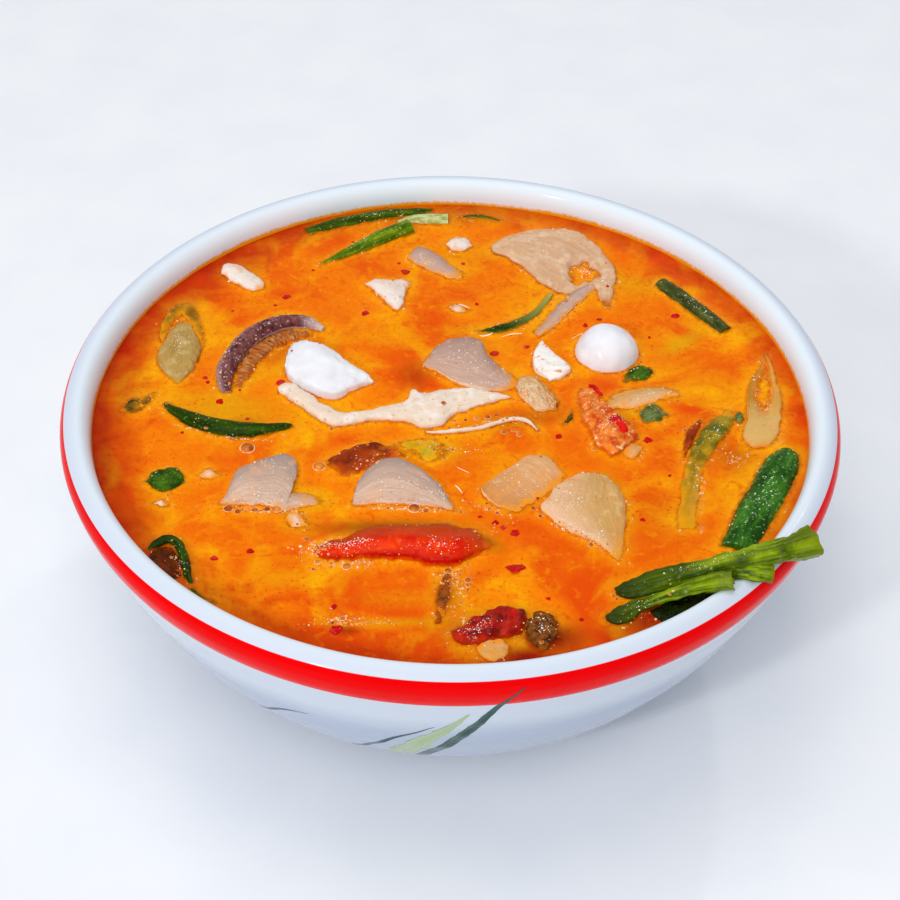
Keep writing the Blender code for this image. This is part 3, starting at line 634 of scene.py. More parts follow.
frill = floating_slab(
    [(11, 75.5), (14.5, 79), (22, 82.5), (31.5, 84), (37, 83), (41, 79), (44.5, 72.5), (47.5, 63.5),
    (46.5, 54.5), (45, 46.5)], [(11, 75.5), (12, 73), (15.5, 70.5), (20.5, 65.5), (25.5, 58.5), (30.5, 54),
    (34, 53), (38, 55.5), (41, 57), (43, 50), (45, 46.5)], (0.3, 1.2, 1.5, 1.6, 1.6, 1.3, 0.8, 0.2),
    ((0.4, 0.7, 0.8, 0.7, 0.6, 0.4, 0.3, 0.1), (0.5, 0.6, 0.5, 0.4, 0.4, 0.2, 0.0)), torn_open, rows=110,
    columns=54)
add_food("oyster_mushroom_big_flesh", frill, oyster_beige, "mushroom_pale", 12, (6.0, 0.4), (1.6, 0.14))

sliver = rod(
    [(-6.5, -8.5, 0.3), (-2, -8.7, 0.5), (3.5, -7.7, 0.5), (8.5, -6.5, 0.5), (13.5, -4, 0.5),
    (17.5, -2.8, 0.5), (21, -3.8, 0.5), (23.5, -7, 0.2)], [(0.3, 0.3), (0.6, 0.6), (0.6, 0.7), (0.6, 0.7),
    (0.65, 0.7), (0.65, 0.7), (0.6, 0.6), (0.3, 0.3)], rows=80, sides=12)
add_food("mushroom_sliver_flesh", sliver, oyster_pale, "mushroom_pale", 13, (2.5, 0.25))

stem = floating_slab(
    [(-74.5, 36.5), (-77, 37), (-79.5, 33), (-81, 26.5), (-82, 20), (-80, 15.5), (-77.5, 12), (-75, 10.5)],
    [(-74.5, 36.5), (-72, 31), (-70.3, 24.5), (-71.2, 18), (-73, 13), (-75, 10.5)],
    (0.3, 1.0, 1.8, 2.0, 1.5, 0.3), (0.2, 0.3), columns=30)
add_food("pale_wedge_left_flesh", stem, stem_pale, "mushroom_pale", 14, (4.0, 0.4), (1.4, 0.3))

# The cap's skin is purple-brown and slick, with a painted grey sheen on its outer side and pale flecks
# painted as glints, and pale at its far end.
cap_skin = new_material("dark mushroom cap skin")
painted_glint_flecks = mottling(cap_skin, 0.9)
body = two_tone(cap_skin, mottling(cap_skin, 2.2), "541E1C", "8C524C")
# Painted sheen: the outer side is greyer.
body = two_tone(cap_skin, place_along(cap_skin, "Y"), body, "B8989C", 0.28, 0.47)
body = two_tone(cap_skin, place_along(cap_skin, "X"), body, "D8C0B8", 0.84, 1.0)
# Pale flecks painted as glints.
body = two_tone(cap_skin, painted_glint_flecks, body, "E8DCE4", 0.6, 0.74)
wet_food(cap_skin, body, "B0500C", 0.4, ((painted_glint_flecks, 0.25),), Specular_IOR_Level=0.3)
cap = rod(
    [(-61.5, 6.5, 0.3), (-62.6, 13.5, 1.0), (-60.8, 21, 1.4), (-57.5, 28, 1.6), (-52.6, 33.4, 1.6),
    (-47, 36.4, 1.4), (-41, 36.8, 1.0), (-36.5, 34.5, 0.6)], [(1.3, 1.3), (2.5, 2.2), (2.7, 2.5),
    (2.7, 2.6), (2.6, 2.5), (2.4, 2.2), (2.0, 1.7), (0.9, 0.9)], rows=100, sides=30)
add_food("mushroom_cap_dark_skin", cap, cap_skin, "mushroom_dark", 15, (4.0, 0.3), (1.2, 0.14))

# Gills: thin ragged leaves side by side under the cap, brown-gold with broth between them.
gill_flesh = new_material("mushroom gills")
pleats = fibres(gill_flesh, 45, 5, 4.0)
body = two_tone(gill_flesh, pleats, "7A2E04", "D89048", 0.36, 0.62)
body = two_tone(gill_flesh, mottling(gill_flesh, 1.6), body, "B85808", 0.45, 0.7)
wet_food(gill_flesh, body, "C8600A", 0.8, ((pleats, 0.2), (mottling(gill_flesh, 0.8), 0.25)), Roughness=0.2,
         Specular_IOR_Level=0.3)
gills = rod(
    [(-58.5, 9, 0), (-57, 16, 0.2), (-54.5, 23, 0.3), (-50.5, 28.6, 0.4), (-45, 31.6, 0.3),
    (-39.5, 32.6, 0.1)], [(0.8, 0.5), (2.0, 1.1), (2.4, 1.2), (2.3, 1.2), (2.0, 1.1), (0.8, 0.5)], rows=150,
    sides=20, section=lambda along, turn: 1 + 0.5 * noise.noise(Vector((along * 26, 0, 0))))
add_food("mushroom_gills_flesh", gills, gill_flesh, "mushroom_gill", 16, (2.0, 0.6), (0.9, 0.35))

# --- Fish ball, squid and fish cake --------------------------------------------------------------
# Smooth white seafood: a boiled fish ball, a bite of squid and a pitted wedge of fish cake. The ball
# is a sphere with one faint fold, as wide as its solid; the others are lofted between two edges.

# Boiled fish paste and squid: dense and white, with a little light inside and a soft shine.
seafood = new_material("boiled white seafood")
body = two_tone(seafood, mottling(seafood, 6.0), "ECE8EA", "F8F6F8")
wet_food(seafood, body, "F6A850", 0.7, ((mottling(seafood, 3.0), 0.1),), Roughness=0.22,
         Specular_IOR_Level=0.3, Subsurface_Weight=0.2, Subsurface_Radius=(3e-3, 2e-3, 1.4e-3))
# The ball floats 2 mm nearer the diner than its solid.
low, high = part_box("fish_ball")
centre = (low + high) / 2 / MM + Vector((-0.6, -1.9, 0))
ball = bmesh.new()
bmesh.ops.create_icosphere(ball, subdivisions=5, radius=(high.x - low.x) / 2 / MM,
                           matrix=Matrix.Translation(centre))
for vert in ball.verts:
    out = (vert.co - centre).normalized()
    fold = out.dot(Vector((0.9, 0.1, 0.43)))
    crease = math.exp(-((out.z - 0.72 - 0.12 * math.sin(9 * out.y)) / 0.05) ** 2)
    vert.co -= out * 0.22 * crease * max(0, fold)
add_food("fish_ball_flesh", ball, seafood, "seafood_white", 17, (7.0, 0.45), (2.5, 0.1))

squid = floating_slab(
    [(-45.5, 24), (-44, 26.4), (-41, 26.8), (-37, 25.4), (-33, 22.4), (-28.5, 18), (-24, 14.4),
    (-21.5, 11.5)], [(-45.9, 15), (-44.8, 12), (-42, 9.6), (-38, 6.4), (-34, 4.4), (-30.5, 4.8), (-27, 7.8),
    (-23.5, 10.4), (-21.5, 11.5)], (2.4, 3.4, 3.9, 4.1, 3.9, 3.4, 2.8, 2.0, 0.8), (0.5, 0.4),
    ridge(0.3, 0.14, 0.35), sink=4.0, fullness=0.3, rows=70, columns=44)
add_food("squid_chunk_flesh", squid, seafood, "seafood_white", 18, (8.0, 0.6))

# Fish cake: a dry-looking crumb full of pores, which hold the broth's orange.
cake_flesh = new_material("fish cake, porous")
pores = mottling(cake_flesh, 1.5, 2.0)
body = two_tone(cake_flesh, pores, "E0A070", "FBF2E8", 0.28, 0.42)
wet_food(cake_flesh, body, "F0A040", 0.6, ((pores, 0.3),), Roughness=0.3, Specular_IOR_Level=0.3)
cake = floating_slab(
    [(25, 29.2), (22.8, 23.4), (22.6, 18.4), (27.4, 13.4)], [(25.8, 29), (29.2, 23.6), (32.8, 17.4),
    (27.4, 13.4)], (1.4, 2.2, 2.2, 0.4), (0.6, 0.6), fullness=0.4, columns=30)
add_food("fish_cake_wedge_flesh", cake, cake_flesh, "seafood_white", 19, (3.0, 0.4), (1.0, 0.14))

# --- Shrimp and brown meat -----------------------------------------------------------------------
# Rough cooked bites: fibrous shrimp stained orange by the broth, with a pale tail, and dark brown
# chunks at the front. Lofted between their edges, then made knobbly.


def rough_meat(name, dark, light, broth, size=1.6, tip=None):
    """Cooked meat: knobbly fibres, stained by the broth."""
    meat = new_material(name)
    lumps = mottling(meat, size, 4.0)
    body = two_tone(meat, lumps, dark, light, 0.34, 0.58)
    # A third colour in patches: on the shrimp, cream painted as highlights.
    body = two_tone(meat, mottling(meat, 1.3), body, tip or light, 0.56, 0.74)
    return wet_food(meat, body, broth, 1.1, ((lumps, 0.4), (mottling(meat, 0.7), 0.15)),
                    Specular_IOR_Level=0.14)


# Shrimp is orange with pale cream patches painted as highlights; the braised meat is nearly black in its
# hollows.
shrimp_flesh = rough_meat("cooked shrimp", "D04402", "F68A30", "F07008", 2.4, "FFDCA8")
brown_meat = rough_meat("braised brown meat", "341202", "8A4C10", "B85006")
shrimp = floating_slab(
    [(35.5, 11), (35, 7.5), (35.5, 3), (36, -3), (37.5, -7), (39, -12), (40.5, -15), (43, -17)],
    [(38, 11), (39.5, 9.5), (40.5, 6.5), (43, 2), (45.5, -1.5), (48.5, -6), (50, -10), (46.5, -14.5)],
    (0.6, 1.6, 2.0, 2.4, 2.8, 2.6, 0.8), ((0.3, 0.4), (0.5, 0.8, 0.8, 0.6)), ridge(0.35, 0.12, 0.9),
    columns=34)
add_food("shrimp_chunk_flesh", shrimp, shrimp_flesh, "shrimp", 22, (3.2, 1.0), (1.5, 0.45), (0.8, 0.12))
# The tail is as glassy as onion, and paler at its edge, partly a painted highlight.
tail_flesh = onion_flesh("pale shrimp tail", "D08848", "F2BC84", "FFD8A0")
tail = floating_slab(
    [(45.5, -15), (48.5, -11.5), (51.5, -13)], [(45.5, -15), (48.5, -18), (51.5, -13)], (0.2, 0.9, 0.2),
    (0.2, 0.2), columns=16, rows=30)
add_food("shrimp_tail_pale_flesh", tail, tail_flesh, "shrimp")
chunk = floating_slab(
    [(19, -80), (22.6, -75.8), (26.4, -77), (27.4, -82.5)], [(19, -80), (20, -85.4), (23.6, -87.6),
    (27.4, -82.5)], (0.5, 2.0, 2.2, 0.6), (0.3, 0.3), columns=34, rows=50)
add_food("brown_chunk_front_flesh", chunk, brown_meat, "shrimp", 23, (2.6, 1.2), (1.1, 0.5))
fold = rod(
    [(-0.3, -62.5), (-0.8, -67.5), (-1.4, -73), (-2, -79)], [(0.8, 0.7), (1.5, 1.0), (1.4, 0.9), (0.6, 0.5)])
add_food("brown_fold_front_flesh", fold, brown_meat, "shrimp", 24, (2.4, 0.7), (1.0, 0.2))

# --- Tomatoes ------------------------------------------------------------------------------------
# Two cooked tomato wedges: a slope of skin under a film of broth behind, and bright wet flesh in
# front. Lofted between their edges.

# Tomato: deep wet red, orange where broth films the skin behind, glinting in fine points in front.
tomato_flesh = new_material("cooked tomato")
body = two_tone(tomato_flesh, mottling(tomato_flesh, 6.0), "D81400", "F43C00")
body = two_tone(tomato_flesh, mottling(tomato_flesh, 1.2), body, "F86018", 0.56, 0.85)
around = place_along(tomato_flesh, "Y")
body = two_tone(tomato_flesh, around, body, "C00800", 0.38, 0.46)
body = two_tone(tomato_flesh, around, "B04406", body, 0.1, 0.3)
body = two_tone(tomato_flesh, place_along(tomato_flesh, "X"), body, "C04C08", 0.78, 1.0)
wet_food(tomato_flesh, body, "F05A06", 1.3, ((mottling(tomato_flesh, 1.2), 0.22),), Roughness=0.13,
         Specular_IOR_Level=0.12, Subsurface_Weight=0.05, Subsurface_Radius=(2e-3, 5e-4, 3e-4))
tomato = floating_slab(
    [(-33.5, -54.8), (-31, -51.8), (-26.5, -49.5), (-20, -47), (-13, -45.2), (-6, -44.6), (1, -45),
    (6.5, -47), (11, -51.5)], [(-33.5, -54.8), (-31, -57.4), (-26, -58), (-19.5, -57), (-14, -57),
    (-9, -57.6), (-3, -59.4), (3, -58.6), (8, -55), (11, -51.5)], (0.3, 2.0, 2.6, 2.8, 2.9, 3.0, 2.6, 0.3),
    ((0.1, -0.3, -0.4, -0.4, -0.3, -0.1), (0.4, 0.5, 0.4)), ridge(0.6, 0.16, 0.8), sink=3.5, rows=90,
    columns=40)
add_food("tomato_wedge_flesh", tomato, tomato_flesh, "tomato", 25, (7.0, 0.8), (2.0, 0.3))
# A darker copy of the tomato: brown-red and half under the broth.
tomato_dark = new_material("tomato, darker copy")
body = two_tone(tomato_dark, mottling(tomato_dark, 3.0), "760802", "CC1604")
wet_food(tomato_dark, body, "B83404", 1.7, ((mottling(tomato_dark, 1.2), 0.22),), Roughness=0.13,
         Specular_IOR_Level=0.2)
tomato = floating_slab(
    [(1.5, -82), (4.5, -80), (8, -77), (11.5, -75), (15, -73.8), (18.5, -75), (20, -78.5)],
    [(1.5, -82), (3, -85.5), (6, -86.5), (10, -85.5), (14, -83.5), (17.5, -82), (20, -78.5)],
    (0.3, 1.6, 2.2, 2.4, 1.8, 0.4), (0.3, 0.3), columns=34)
add_food("tomato_front_flesh", tomato, tomato_dark, "tomato", 26, (3.6, 1.0), (1.4, 0.35))

# --- Chilli and pepper ---------------------------------------------------------------------------
# A dark dried-chilli skin, limp slices of yellow-green pepper and red chilli curled on the shrimp.
# Thin slabs lofted between their edges; the curls stand above the broth on the shrimp.


def pepper_flesh(name, dark, light, broth="E89A08", blotch=4.0, tail=None):
    """Boiled pepper skin: slick, blotched, with broth showing through its thin edges."""
    flesh = new_material(name)
    body = two_tone(flesh, mottling(flesh, blotch), dark, light, 0.4, 0.6)
    if tail:
        body = two_tone(flesh, place_along(flesh, "X"), body, tail, 0.35, 1.0)
    return wet_food(flesh, body, broth, 0.9, ((fibres(flesh, 5, 18), 0.06), (mottling(flesh, 0.9), 0.15)),
                    Roughness=0.14, Specular_IOR_Level=0.15)


# Pepper and chilli: thin and limp, so the broth's own colour shows at their edges.
chilli_skin = pepper_flesh("dried chilli skin", "5A0E00", "AC3C04", "E07008", 8.0)
chilli_red = pepper_flesh("fresh red chilli", "C40804", "F01C10", "F04808", 3.0)
pepper_yellow = pepper_flesh("yellow-green pepper", "A08C0C", "CCB834", "F0A808")
pepper_bent = pepper_flesh("steeped pepper strip", "62600A", "A88A10", "F09A08", 4.0, tail="DC960C")
pepper_olive = pepper_flesh("olive pepper", "885A02", "BE8406", "F09A08", 9.0)
PEPPERS = (
    ("chilli_skin_dark", chilli_skin, [(-32.5, -22), (-31.5, -19.5), (-27, -16.5), (-23, -14.3),
     (-19.5, -13.5), (-15, -16), (-12, -18)], [(-32.5, -22), (-29, -25.5), (-27, -26.5), (-22, -24),
     (-17.5, -20.5), (-12, -18)], (0.2, 1.0, 1.2, 0.8, 0.2), ((0.2, 0.6, 0.5, 0.2), 0.1),
     veins(2, 0.15, 1.0)),
    ("pepper_slice_middle", pepper_yellow, [(-17, -14.6), (-11, -12.2), (-5, -11.4), (0, -15)],
     [(-17, -14.6), (-11, -17), (-4, -20), (0, -15)], (0.1, 0.5, 0.6, 0.1), (0.0, -0.2), None),
    ("pepper_strip_bent", pepper_bent, [(76, 3), (70, -3.5), (65.5, -11), (63, -19), (61, -28), (59.5, -38),
     (58.8, -44.5)], [(76, 3), (77, -1.5), (73.3, -9), (68.6, -17), (66.3, -24.5), (65, -32),
     (63.2, -44.5)], (0.3, 1.2, 1.0, 0.6, 0.7, 0.8, 0.4), ((0.2, 0.5, 0.3, 0.2), (0.2, 0.4, 0.1, 0.2, 0.2)),
     ridge(0.4, 0.12, 0.5)),
    ("pepper_scrap_-17", chilli_skin, [(62.4, -17), (62.8, -11), (64.4, -5.5), (67.8, -2.4)],
     [(62.4, -17), (65, -10.5), (66.8, -5.5), (67.8, -2.4)], (0.2, 1.0, 0.3), (0.5, 0.7), None))
for node, flesh, left, right, dome, rims, relief in PEPPERS:
    skin = floating_slab(left, right, dome, rims, relief, sink=1.8, columns=26)
    add_food(node + "_flesh", skin, flesh, "pepper", len(left) + 27, (3.5, 0.35), (1.2, 0.14),
             solid="scrap" not in node)
CHILLI_CURLS = (
    ("chilli_curl_low_flesh", [(41, -9.4), (42.8, -4.6), (45.6, -3.4)],
     [(41, -9.4), (45.4, -11), (48.2, -8.6), (45.6, -3.4)], 4.0),
    ("chilli_curl_high_flesh", [(36.6, 3), (37.8, 4.6), (39.2, 3)], [(36.6, 3), (38, 0.8), (39.2, 3)], 3.0),
    ("chilli_curl_top_flesh", [(38, 11), (40.4, 10), (41.6, 7)], [(38, 11), (39.6, 8.4), (41.6, 7)], 2.4))
for name, left, right, top in CHILLI_CURLS:
    curl = floating_slab(left, right, (0.2, 1.0, 0.2), (top - 0.8, top - 1.6), sink=2.2 - top, rows=30,
                         columns=16)
    add_food(name, curl, chilli_red, "pepper", 77, (3.0, 0.4), solid=False)

# --- Long beans, spring onion and green chilli ---------------------------------------------------
# Green pods and stems cut in lengths, with slick streaked skins; the thick bean's is pebbled. Each
# is a skin round a path: the path's points, then half widths and half heights along it.


def green_skin(name, dark, light, shine="86A458", grain=0.8, blotch=5.0, broth="C8880A", tip=None):
    """Boiled green skin: dark and light streaks along the stem, and small pale flecks painted as glints."""
    skin = new_material(name)
    body = two_tone(skin, fibres(skin, 3, 9), dark, light, 0.38, 0.62)
    body = two_tone(skin, mottling(skin, blotch), dark, body, 0.2, 0.5)
    if tip:
        body = two_tone(skin, place_along(skin, "X"), body, tip, 0.3, 0.95)
    painted_glint_flecks = mottling(skin, grain, 2.0)
    # Pale flecks painted as glints.
    body = two_tone(skin, painted_glint_flecks, body, shine, 0.6, 0.8)
    return wet_food(skin, body, broth, 0.6, ((painted_glint_flecks, 0.25),), IOR=1.38, Specular_IOR_Level=0.1)


# Boiled greens: each sort's dark, light and painted glint colour; the pale flecks are painted glints, on the
# thick bean also its paler pebbles.
bean_dark = green_skin("long bean skin, dark", "283C00", "526C04")
bean_light = green_skin("long bean skin, light", "3E5E00", "88A010", "B6C870")
bean_grey = green_skin("long bean skin, dull", "2E3810", "5E6424", "8C8C82")
bean_thick = green_skin("thick long bean skin", "1C4408", "44801E", "A8C89C", 1.0, 2.2)
chilli_green = green_skin("green chilli skin", "1A2C00", "365400", "6A9430")
chilli_curl = green_skin("green chilli sliver", "1A2C00", "365400", "8AA040", tip="A8A84E")
leek_flesh = green_skin("spring onion", "9AA23E", "E6E6B0", "F6F6E0")

PODS = (
    ("bean_stem_back", bean_dark, [(-44.2, 81.6), (-33, 86.6), (-20, 91), (-6.6, 93.4)],
     [(1.8, 1.4), (2.4, 1.9), (2.2, 1.8), (1.0, 1.0)], 41),
    ("leek_back", leek_flesh, [(-17, 87.4), (-12, 88.6), (-6.5, 89), (-1.8, 89)],
     [(0.9, 0.7), (2.0, 1.5), (2.6, 1.8), (2.8, 1.8)], 42),
    ("bean_tip_back", bean_light, [(-39.2, 65.8, 0), (-30, 72.2, 0.3), (-21, 79, 0.6), (-13.4, 84.2, 0.6)],
     [(0.3, 0.3), (1.9, 1.7), (2.6, 2.3), (2.7, 2.4)], 43),
    ("green_strip_back", bean_dark, [(1.2, 90.2), (7.5, 90.8), (14, 88.8)],
     [(0.6, 0.5), (1.1, 0.9), (0.5, 0.5)], 44),
    ("bean_back_right", bean_grey, [(60.6, 59.4), (66, 52.6), (72.5, 44.4), (77.8, 37.2)],
     [(2.3, 1.6), (2.6, 2.0), (2.6, 2.0), (2.2, 1.5)], 45),
    ("green_curl_middle", chilli_curl, [(7, 35.2, 0), (12.5, 36, 0.1), (18, 38.8, 0.2), (23, 43, 0.3),
     (26.3, 48.3, 0.3), (28.5, 53, 0.2)], [(0.5, 0.4), (1.6, 0.9), (1.6, 1.0), (1.2, 0.9), (1.0, 0.8),
     (0.7, 0.6)], 46),
    ("green_chilli_left", chilli_green, [(-77.8, 1.4, 0), (-75, -1.6, 0.3), (-70.5, -4.8, 0.4),
     (-64, -7.8, 0.5), (-56.5, -9.2, 0.5), (-50, -8.8, 0.4), (-45, -7.4, 0.3), (-42.8, -6.6, 0)],
     [(0.8, 0.7), (1.5, 1.2), (2.4, 1.7), (2.9, 2.0), (2.8, 2.0), (2.1, 1.5), (1.4, 1.0), (0.6, 0.5)], 47),
    ("bean_thick_right", bean_thick, [(90, -14.6, -0.4), (88, -19.5, -0.6), (84, -28.5, -0.9),
     (79, -39, -0.9), (73, -52, -1.0)], [(3.0, 2.6), (4.8, 4.0), (5.2, 4.3), (5.2, 4.3), (4.4, 3.4)], 48))
for node, skin, path, halves, seed in PODS:
    pod = rod(path, halves, rows=110, sides=32)
    pebbles = 0.25 if node == "bean_thick_right" else 0.1
    add_food(node + "_skin", pod, skin, "greens", seed, (5.0, 0.3), (1.4, pebbles))

# --- Leaves, herb shreds and curls ---------------------------------------------------------------
# Lime leaf, coriander and curled greens: thin dark shreds that stand a millimetre out of the broth.
# The shreds are lofted between their edges and the curls run along a path.

# Leaves: darker than the pods. The leaf under the stalks is painted almost black as shade, and the fold by
# the front wall is painted brown as shade.
leaf_painted_shade = green_skin("boiled leaf, dark", "0A0E02", "1E2A06", "3E5A20", 0.6, 3.0, "3A1C02")
leaf_green = green_skin("boiled leaf", "1E3A00", "467004", "7A9C50", 0.6, 3.0, "A86A08")
leaf_grey = green_skin("boiled leaf, pale side", "465618", "76864C", "A8B078", 0.6, 2.0, "B8800A")
herb_brown = green_skin("herb shred", "3A2E04", "7A620E", "8A8A3A", 0.6, 2.0, "D87E08")
leaf_curled = green_skin("boiled leaf, curled", "1A2C00", "365400", "6A9430")
leaf_fold = green_skin("shaded fold of leaf", "3A1402", "7E3404", "A8580C", 0.8, 2.0, "5A2002")
SHREDS = (
    ("leaf_left", leaf_green, [(-80, -30), (-77.5, -26.5), (-73, -24.8), (-70.2, -26.5), (-69.3, -30.5)],
     [(-80, -30), (-77.5, -32.4), (-75, -33.5), (-72, -33), (-69.3, -30.5)], (0.3, 1.4, 1.6, 1.0, 0.3), 51),
    ("herb_shred_left", herb_brown, [(-89.6, -1.8), (-88, 2.4), (-83.6, 4), (-81, 6.4)],
     [(-89.6, -1.8), (-85.4, -2), (-82, 1.8), (-81, 6.4)], (0.1, 0.5, 0.4, 0.1), 52),
    ("leaf_shred_ball", leaf_green, [(47.5, 14.6), (50, 19.6), (55.2, 20.8)],
     [(47.5, 14.6), (51.5, 14.2), (55.8, 16.6), (55.2, 20.8)], (0.3, 1.0, 0.4), 53),
    ("leaf_shred_right", leaf_grey, [(51, 1), (55.5, 4.4), (59, -0.6)],
     [(51, 1), (52.8, -2.6), (56, -2.6), (59, -0.6)], (0.3, 1.2, 0.3), 54),
    ("stalk_leaf", leaf_painted_shade, [(50, -74), (54, -71.2), (60, -68.6), (66.5, -66), (71, -63.4)],
     [(50, -74), (53.6, -79.4), (59.5, -76.6), (65, -71.6), (71, -63.4)], (0.3, 1.2, 1.5, 1.3, 0.6), 55),
    ("herb_scrap_64", leaf_fold, [(-76, -57), (-73.4, -54.6), (-70, -55), (-67.6, -58.6), (-66, -64)],
     [(-76, -57), (-74.6, -60.4), (-72, -63.4), (-69, -66), (-66, -64)], (0.1, 0.5, 0.4, 0.1), 64),
    ("herb_scrap_58", leaf_grey, [(77, -0.6), (78.6, 2), (80, 0)], [(77, -0.6), (78.4, -2.6), (80, 0)],
     (0.1, 0.4, 0.1), 58),
    ("herb_scrap_59", herb_brown, [(30, -5), (32, -1.4), (32.8, 1.5)], [(30, -5), (33, -2.4), (32.8, 1.5)],
     (0.1, 0.8, 0.1), 59))
for node, leaf, left, right, dome, seed in SHREDS:
    shred = floating_slab(left, right, dome, (0.2, 0.2), columns=22, rows=44, sink=1.5)
    add_food(node + "_leaf", shred, leaf, "greens", seed, (2.5, 0.5), (1.0, 0.15), solid="scrap" not in node)
LEAF_CURLS = (
    ("leaf_curl_front", [(-76, -56, 0.2), (-74, -53.4, 0.8), (-71, -52.2, 1.0), (-68.4, -54, 1.0),
     (-66.4, -58.4, 0.8), (-65.2, -63.5, 0.5), (-64, -67.3, 0.2)], [(0.6, 0.5), (1.1, 0.9), (1.2, 1.0),
     (1.3, 1.0), (1.1, 1.0), (1.0, 0.9), (0.6, 0.5)], 56),
    ("leaf_curl_front_end", [(-64, -68.4), (-61.4, -71.6), (-57.5, -74.2)],
     [(0.6, 0.5), (0.9, 0.7), (0.5, 0.4)], 57))
for node, path, halves, seed in LEAF_CURLS:
    curl = rod(path, halves, rows=70, sides=18)
    add_food(node + "_leaf", curl, leaf_curled, "greens", seed, (2.5, 0.4))
rim = rod(
    [(-81.6, 28, 0), (-81.4, 35, 0.1), (-79.5, 41, 0.2), (-77, 43.6, 0.2), (-74.6, 40.5, 0.2),
    (-72, 34, 0.1), (-70, 26, 0)], [(0.5, 0.4), (1.3, 0.7), (1.9, 0.8), (2.2, 0.8), (1.9, 0.8), (1.1, 0.7),
    (0.4, 0.4)], rows=80, sides=16)
add_food("olive_skin_left_leaf", rim, pepper_olive, "greens", 60, (2.5, 0.4), solid=False)

# --- Water spinach over the lip ------------------------------------------------------------------
# Hollow stalks that lean out of the broth on to the lip: bright green, grooved along their length,
# flaring to a cut end.

# Stalk skin: glossy and streaked, darkest at its wet end and yellower towards the cut one, with
# blotches of 8 mm.
stalk_skin = new_material("water spinach stalk")
streak = fibres(stalk_skin, 2.5, 11, 2.0)
body = two_tone(stalk_skin, streak, "3C5600", "90A80A", 0.38, 0.6)
body = two_tone(stalk_skin, mottling(stalk_skin, 8.0), "344A00", body, 0.3, 0.5)
body = two_tone(stalk_skin, mottling(stalk_skin, 1.4), body, "A8C040", 0.62, 0.85)
body = two_tone(stalk_skin, place_along(stalk_skin, "X"), "2C3E00", body, 0.06, 0.5)
body = two_tone(stalk_skin, place_along(stalk_skin, "X"), body, "748208", 0.8, 1.1)
wet_food(stalk_skin, body, "3A2A06", 0.8, ((streak, 0.3), (mottling(stalk_skin, 1.1), 0.15)), IOR=1.38,
         Specular_IOR_Level=0.15)


STALKS = (
    ("stalk_top", [(41.6, -67.6, 0.2), (47, -66.6, 1.2), (54, -65.4, 2.6), (64, -65, 5.4), (74, -64.2, 8.9),
     (81.5, -63, 10.7), (86.8, -61.4, 11.2), (90.8, -59.9, 11.4)], [(1.2, 0.8), (3.0, 1.6), (3.4, 2.3),
     (3.4, 2.7), (3.3, 2.8), (3.2, 2.8), (3.5, 3.0), (4.4, 3.6)], grooved(5, 0.1), 61),
    ("stalk_under", [(39.4, -76.6, 0.1), (43, -75.8, 0.9), (48, -72.8, 1.4), (57.2, -71, 4.2),
     (64, -71.4, 7.6), (70, -71.6, 9.2)], [(0.8, 0.5), (2.6, 0.9), (1.6, 1.0), (1.9, 1.6), (2.5, 2.0),
     (3.0, 2.6)], grooved(4, 0.1), 62),
    ("stalk_spur", [(67.6, -68.0, 8.0), (73.6, -68.4, 8.8), (79.8, -68.8, 8.4)],
     [(0.8, 0.7), (1.8, 1.6), (2.3, 2.2)], grooved(4, 0.08), 63))
for node, path, halves, section, seed in STALKS:
    stalk = rod(path, halves, rows=120, sides=36, section=section)
    ends = [face for face in stalk.faces if len(face.verts) > 4]
    mouth = max(ends, key=lambda face: face.calc_center_median().x)
    bmesh.ops.inset_region(stalk, faces=[mouth], thickness=0.8, depth=0.0)
    bmesh.ops.inset_region(stalk, faces=[mouth], thickness=0.25, depth=-1.2)
    add_food(node + "_skin", stalk, stalk_skin, "greens", seed, (5.0, 0.6), (1.8, 0.35))

# --- Broth ---------------------------------------------------------------------------------------
# Creamy orange broth poured round the food. Its top is a fine sheet that climbs a little at the wall
# and round each piece, and its body fills the bowl and reaches just into the wall.
BROTH_RADIUS = CREST_RADIUS - LIP_IN - 0.3  # where the broth meets the wall
INTO_WALL = 0.6
MENISCUS = 0.55
MENISCUS_REACH = 1.0
WALL_CLIMB = 0.7
BROTH_CELLS = 300
HALO = 3.2  # how far the paler, oilier broth reaches round the food
# The dark line where the broth meets the food is painted shade.
CONTACT_SHADE = 0.8  # and how far the dark line where the broth meets it
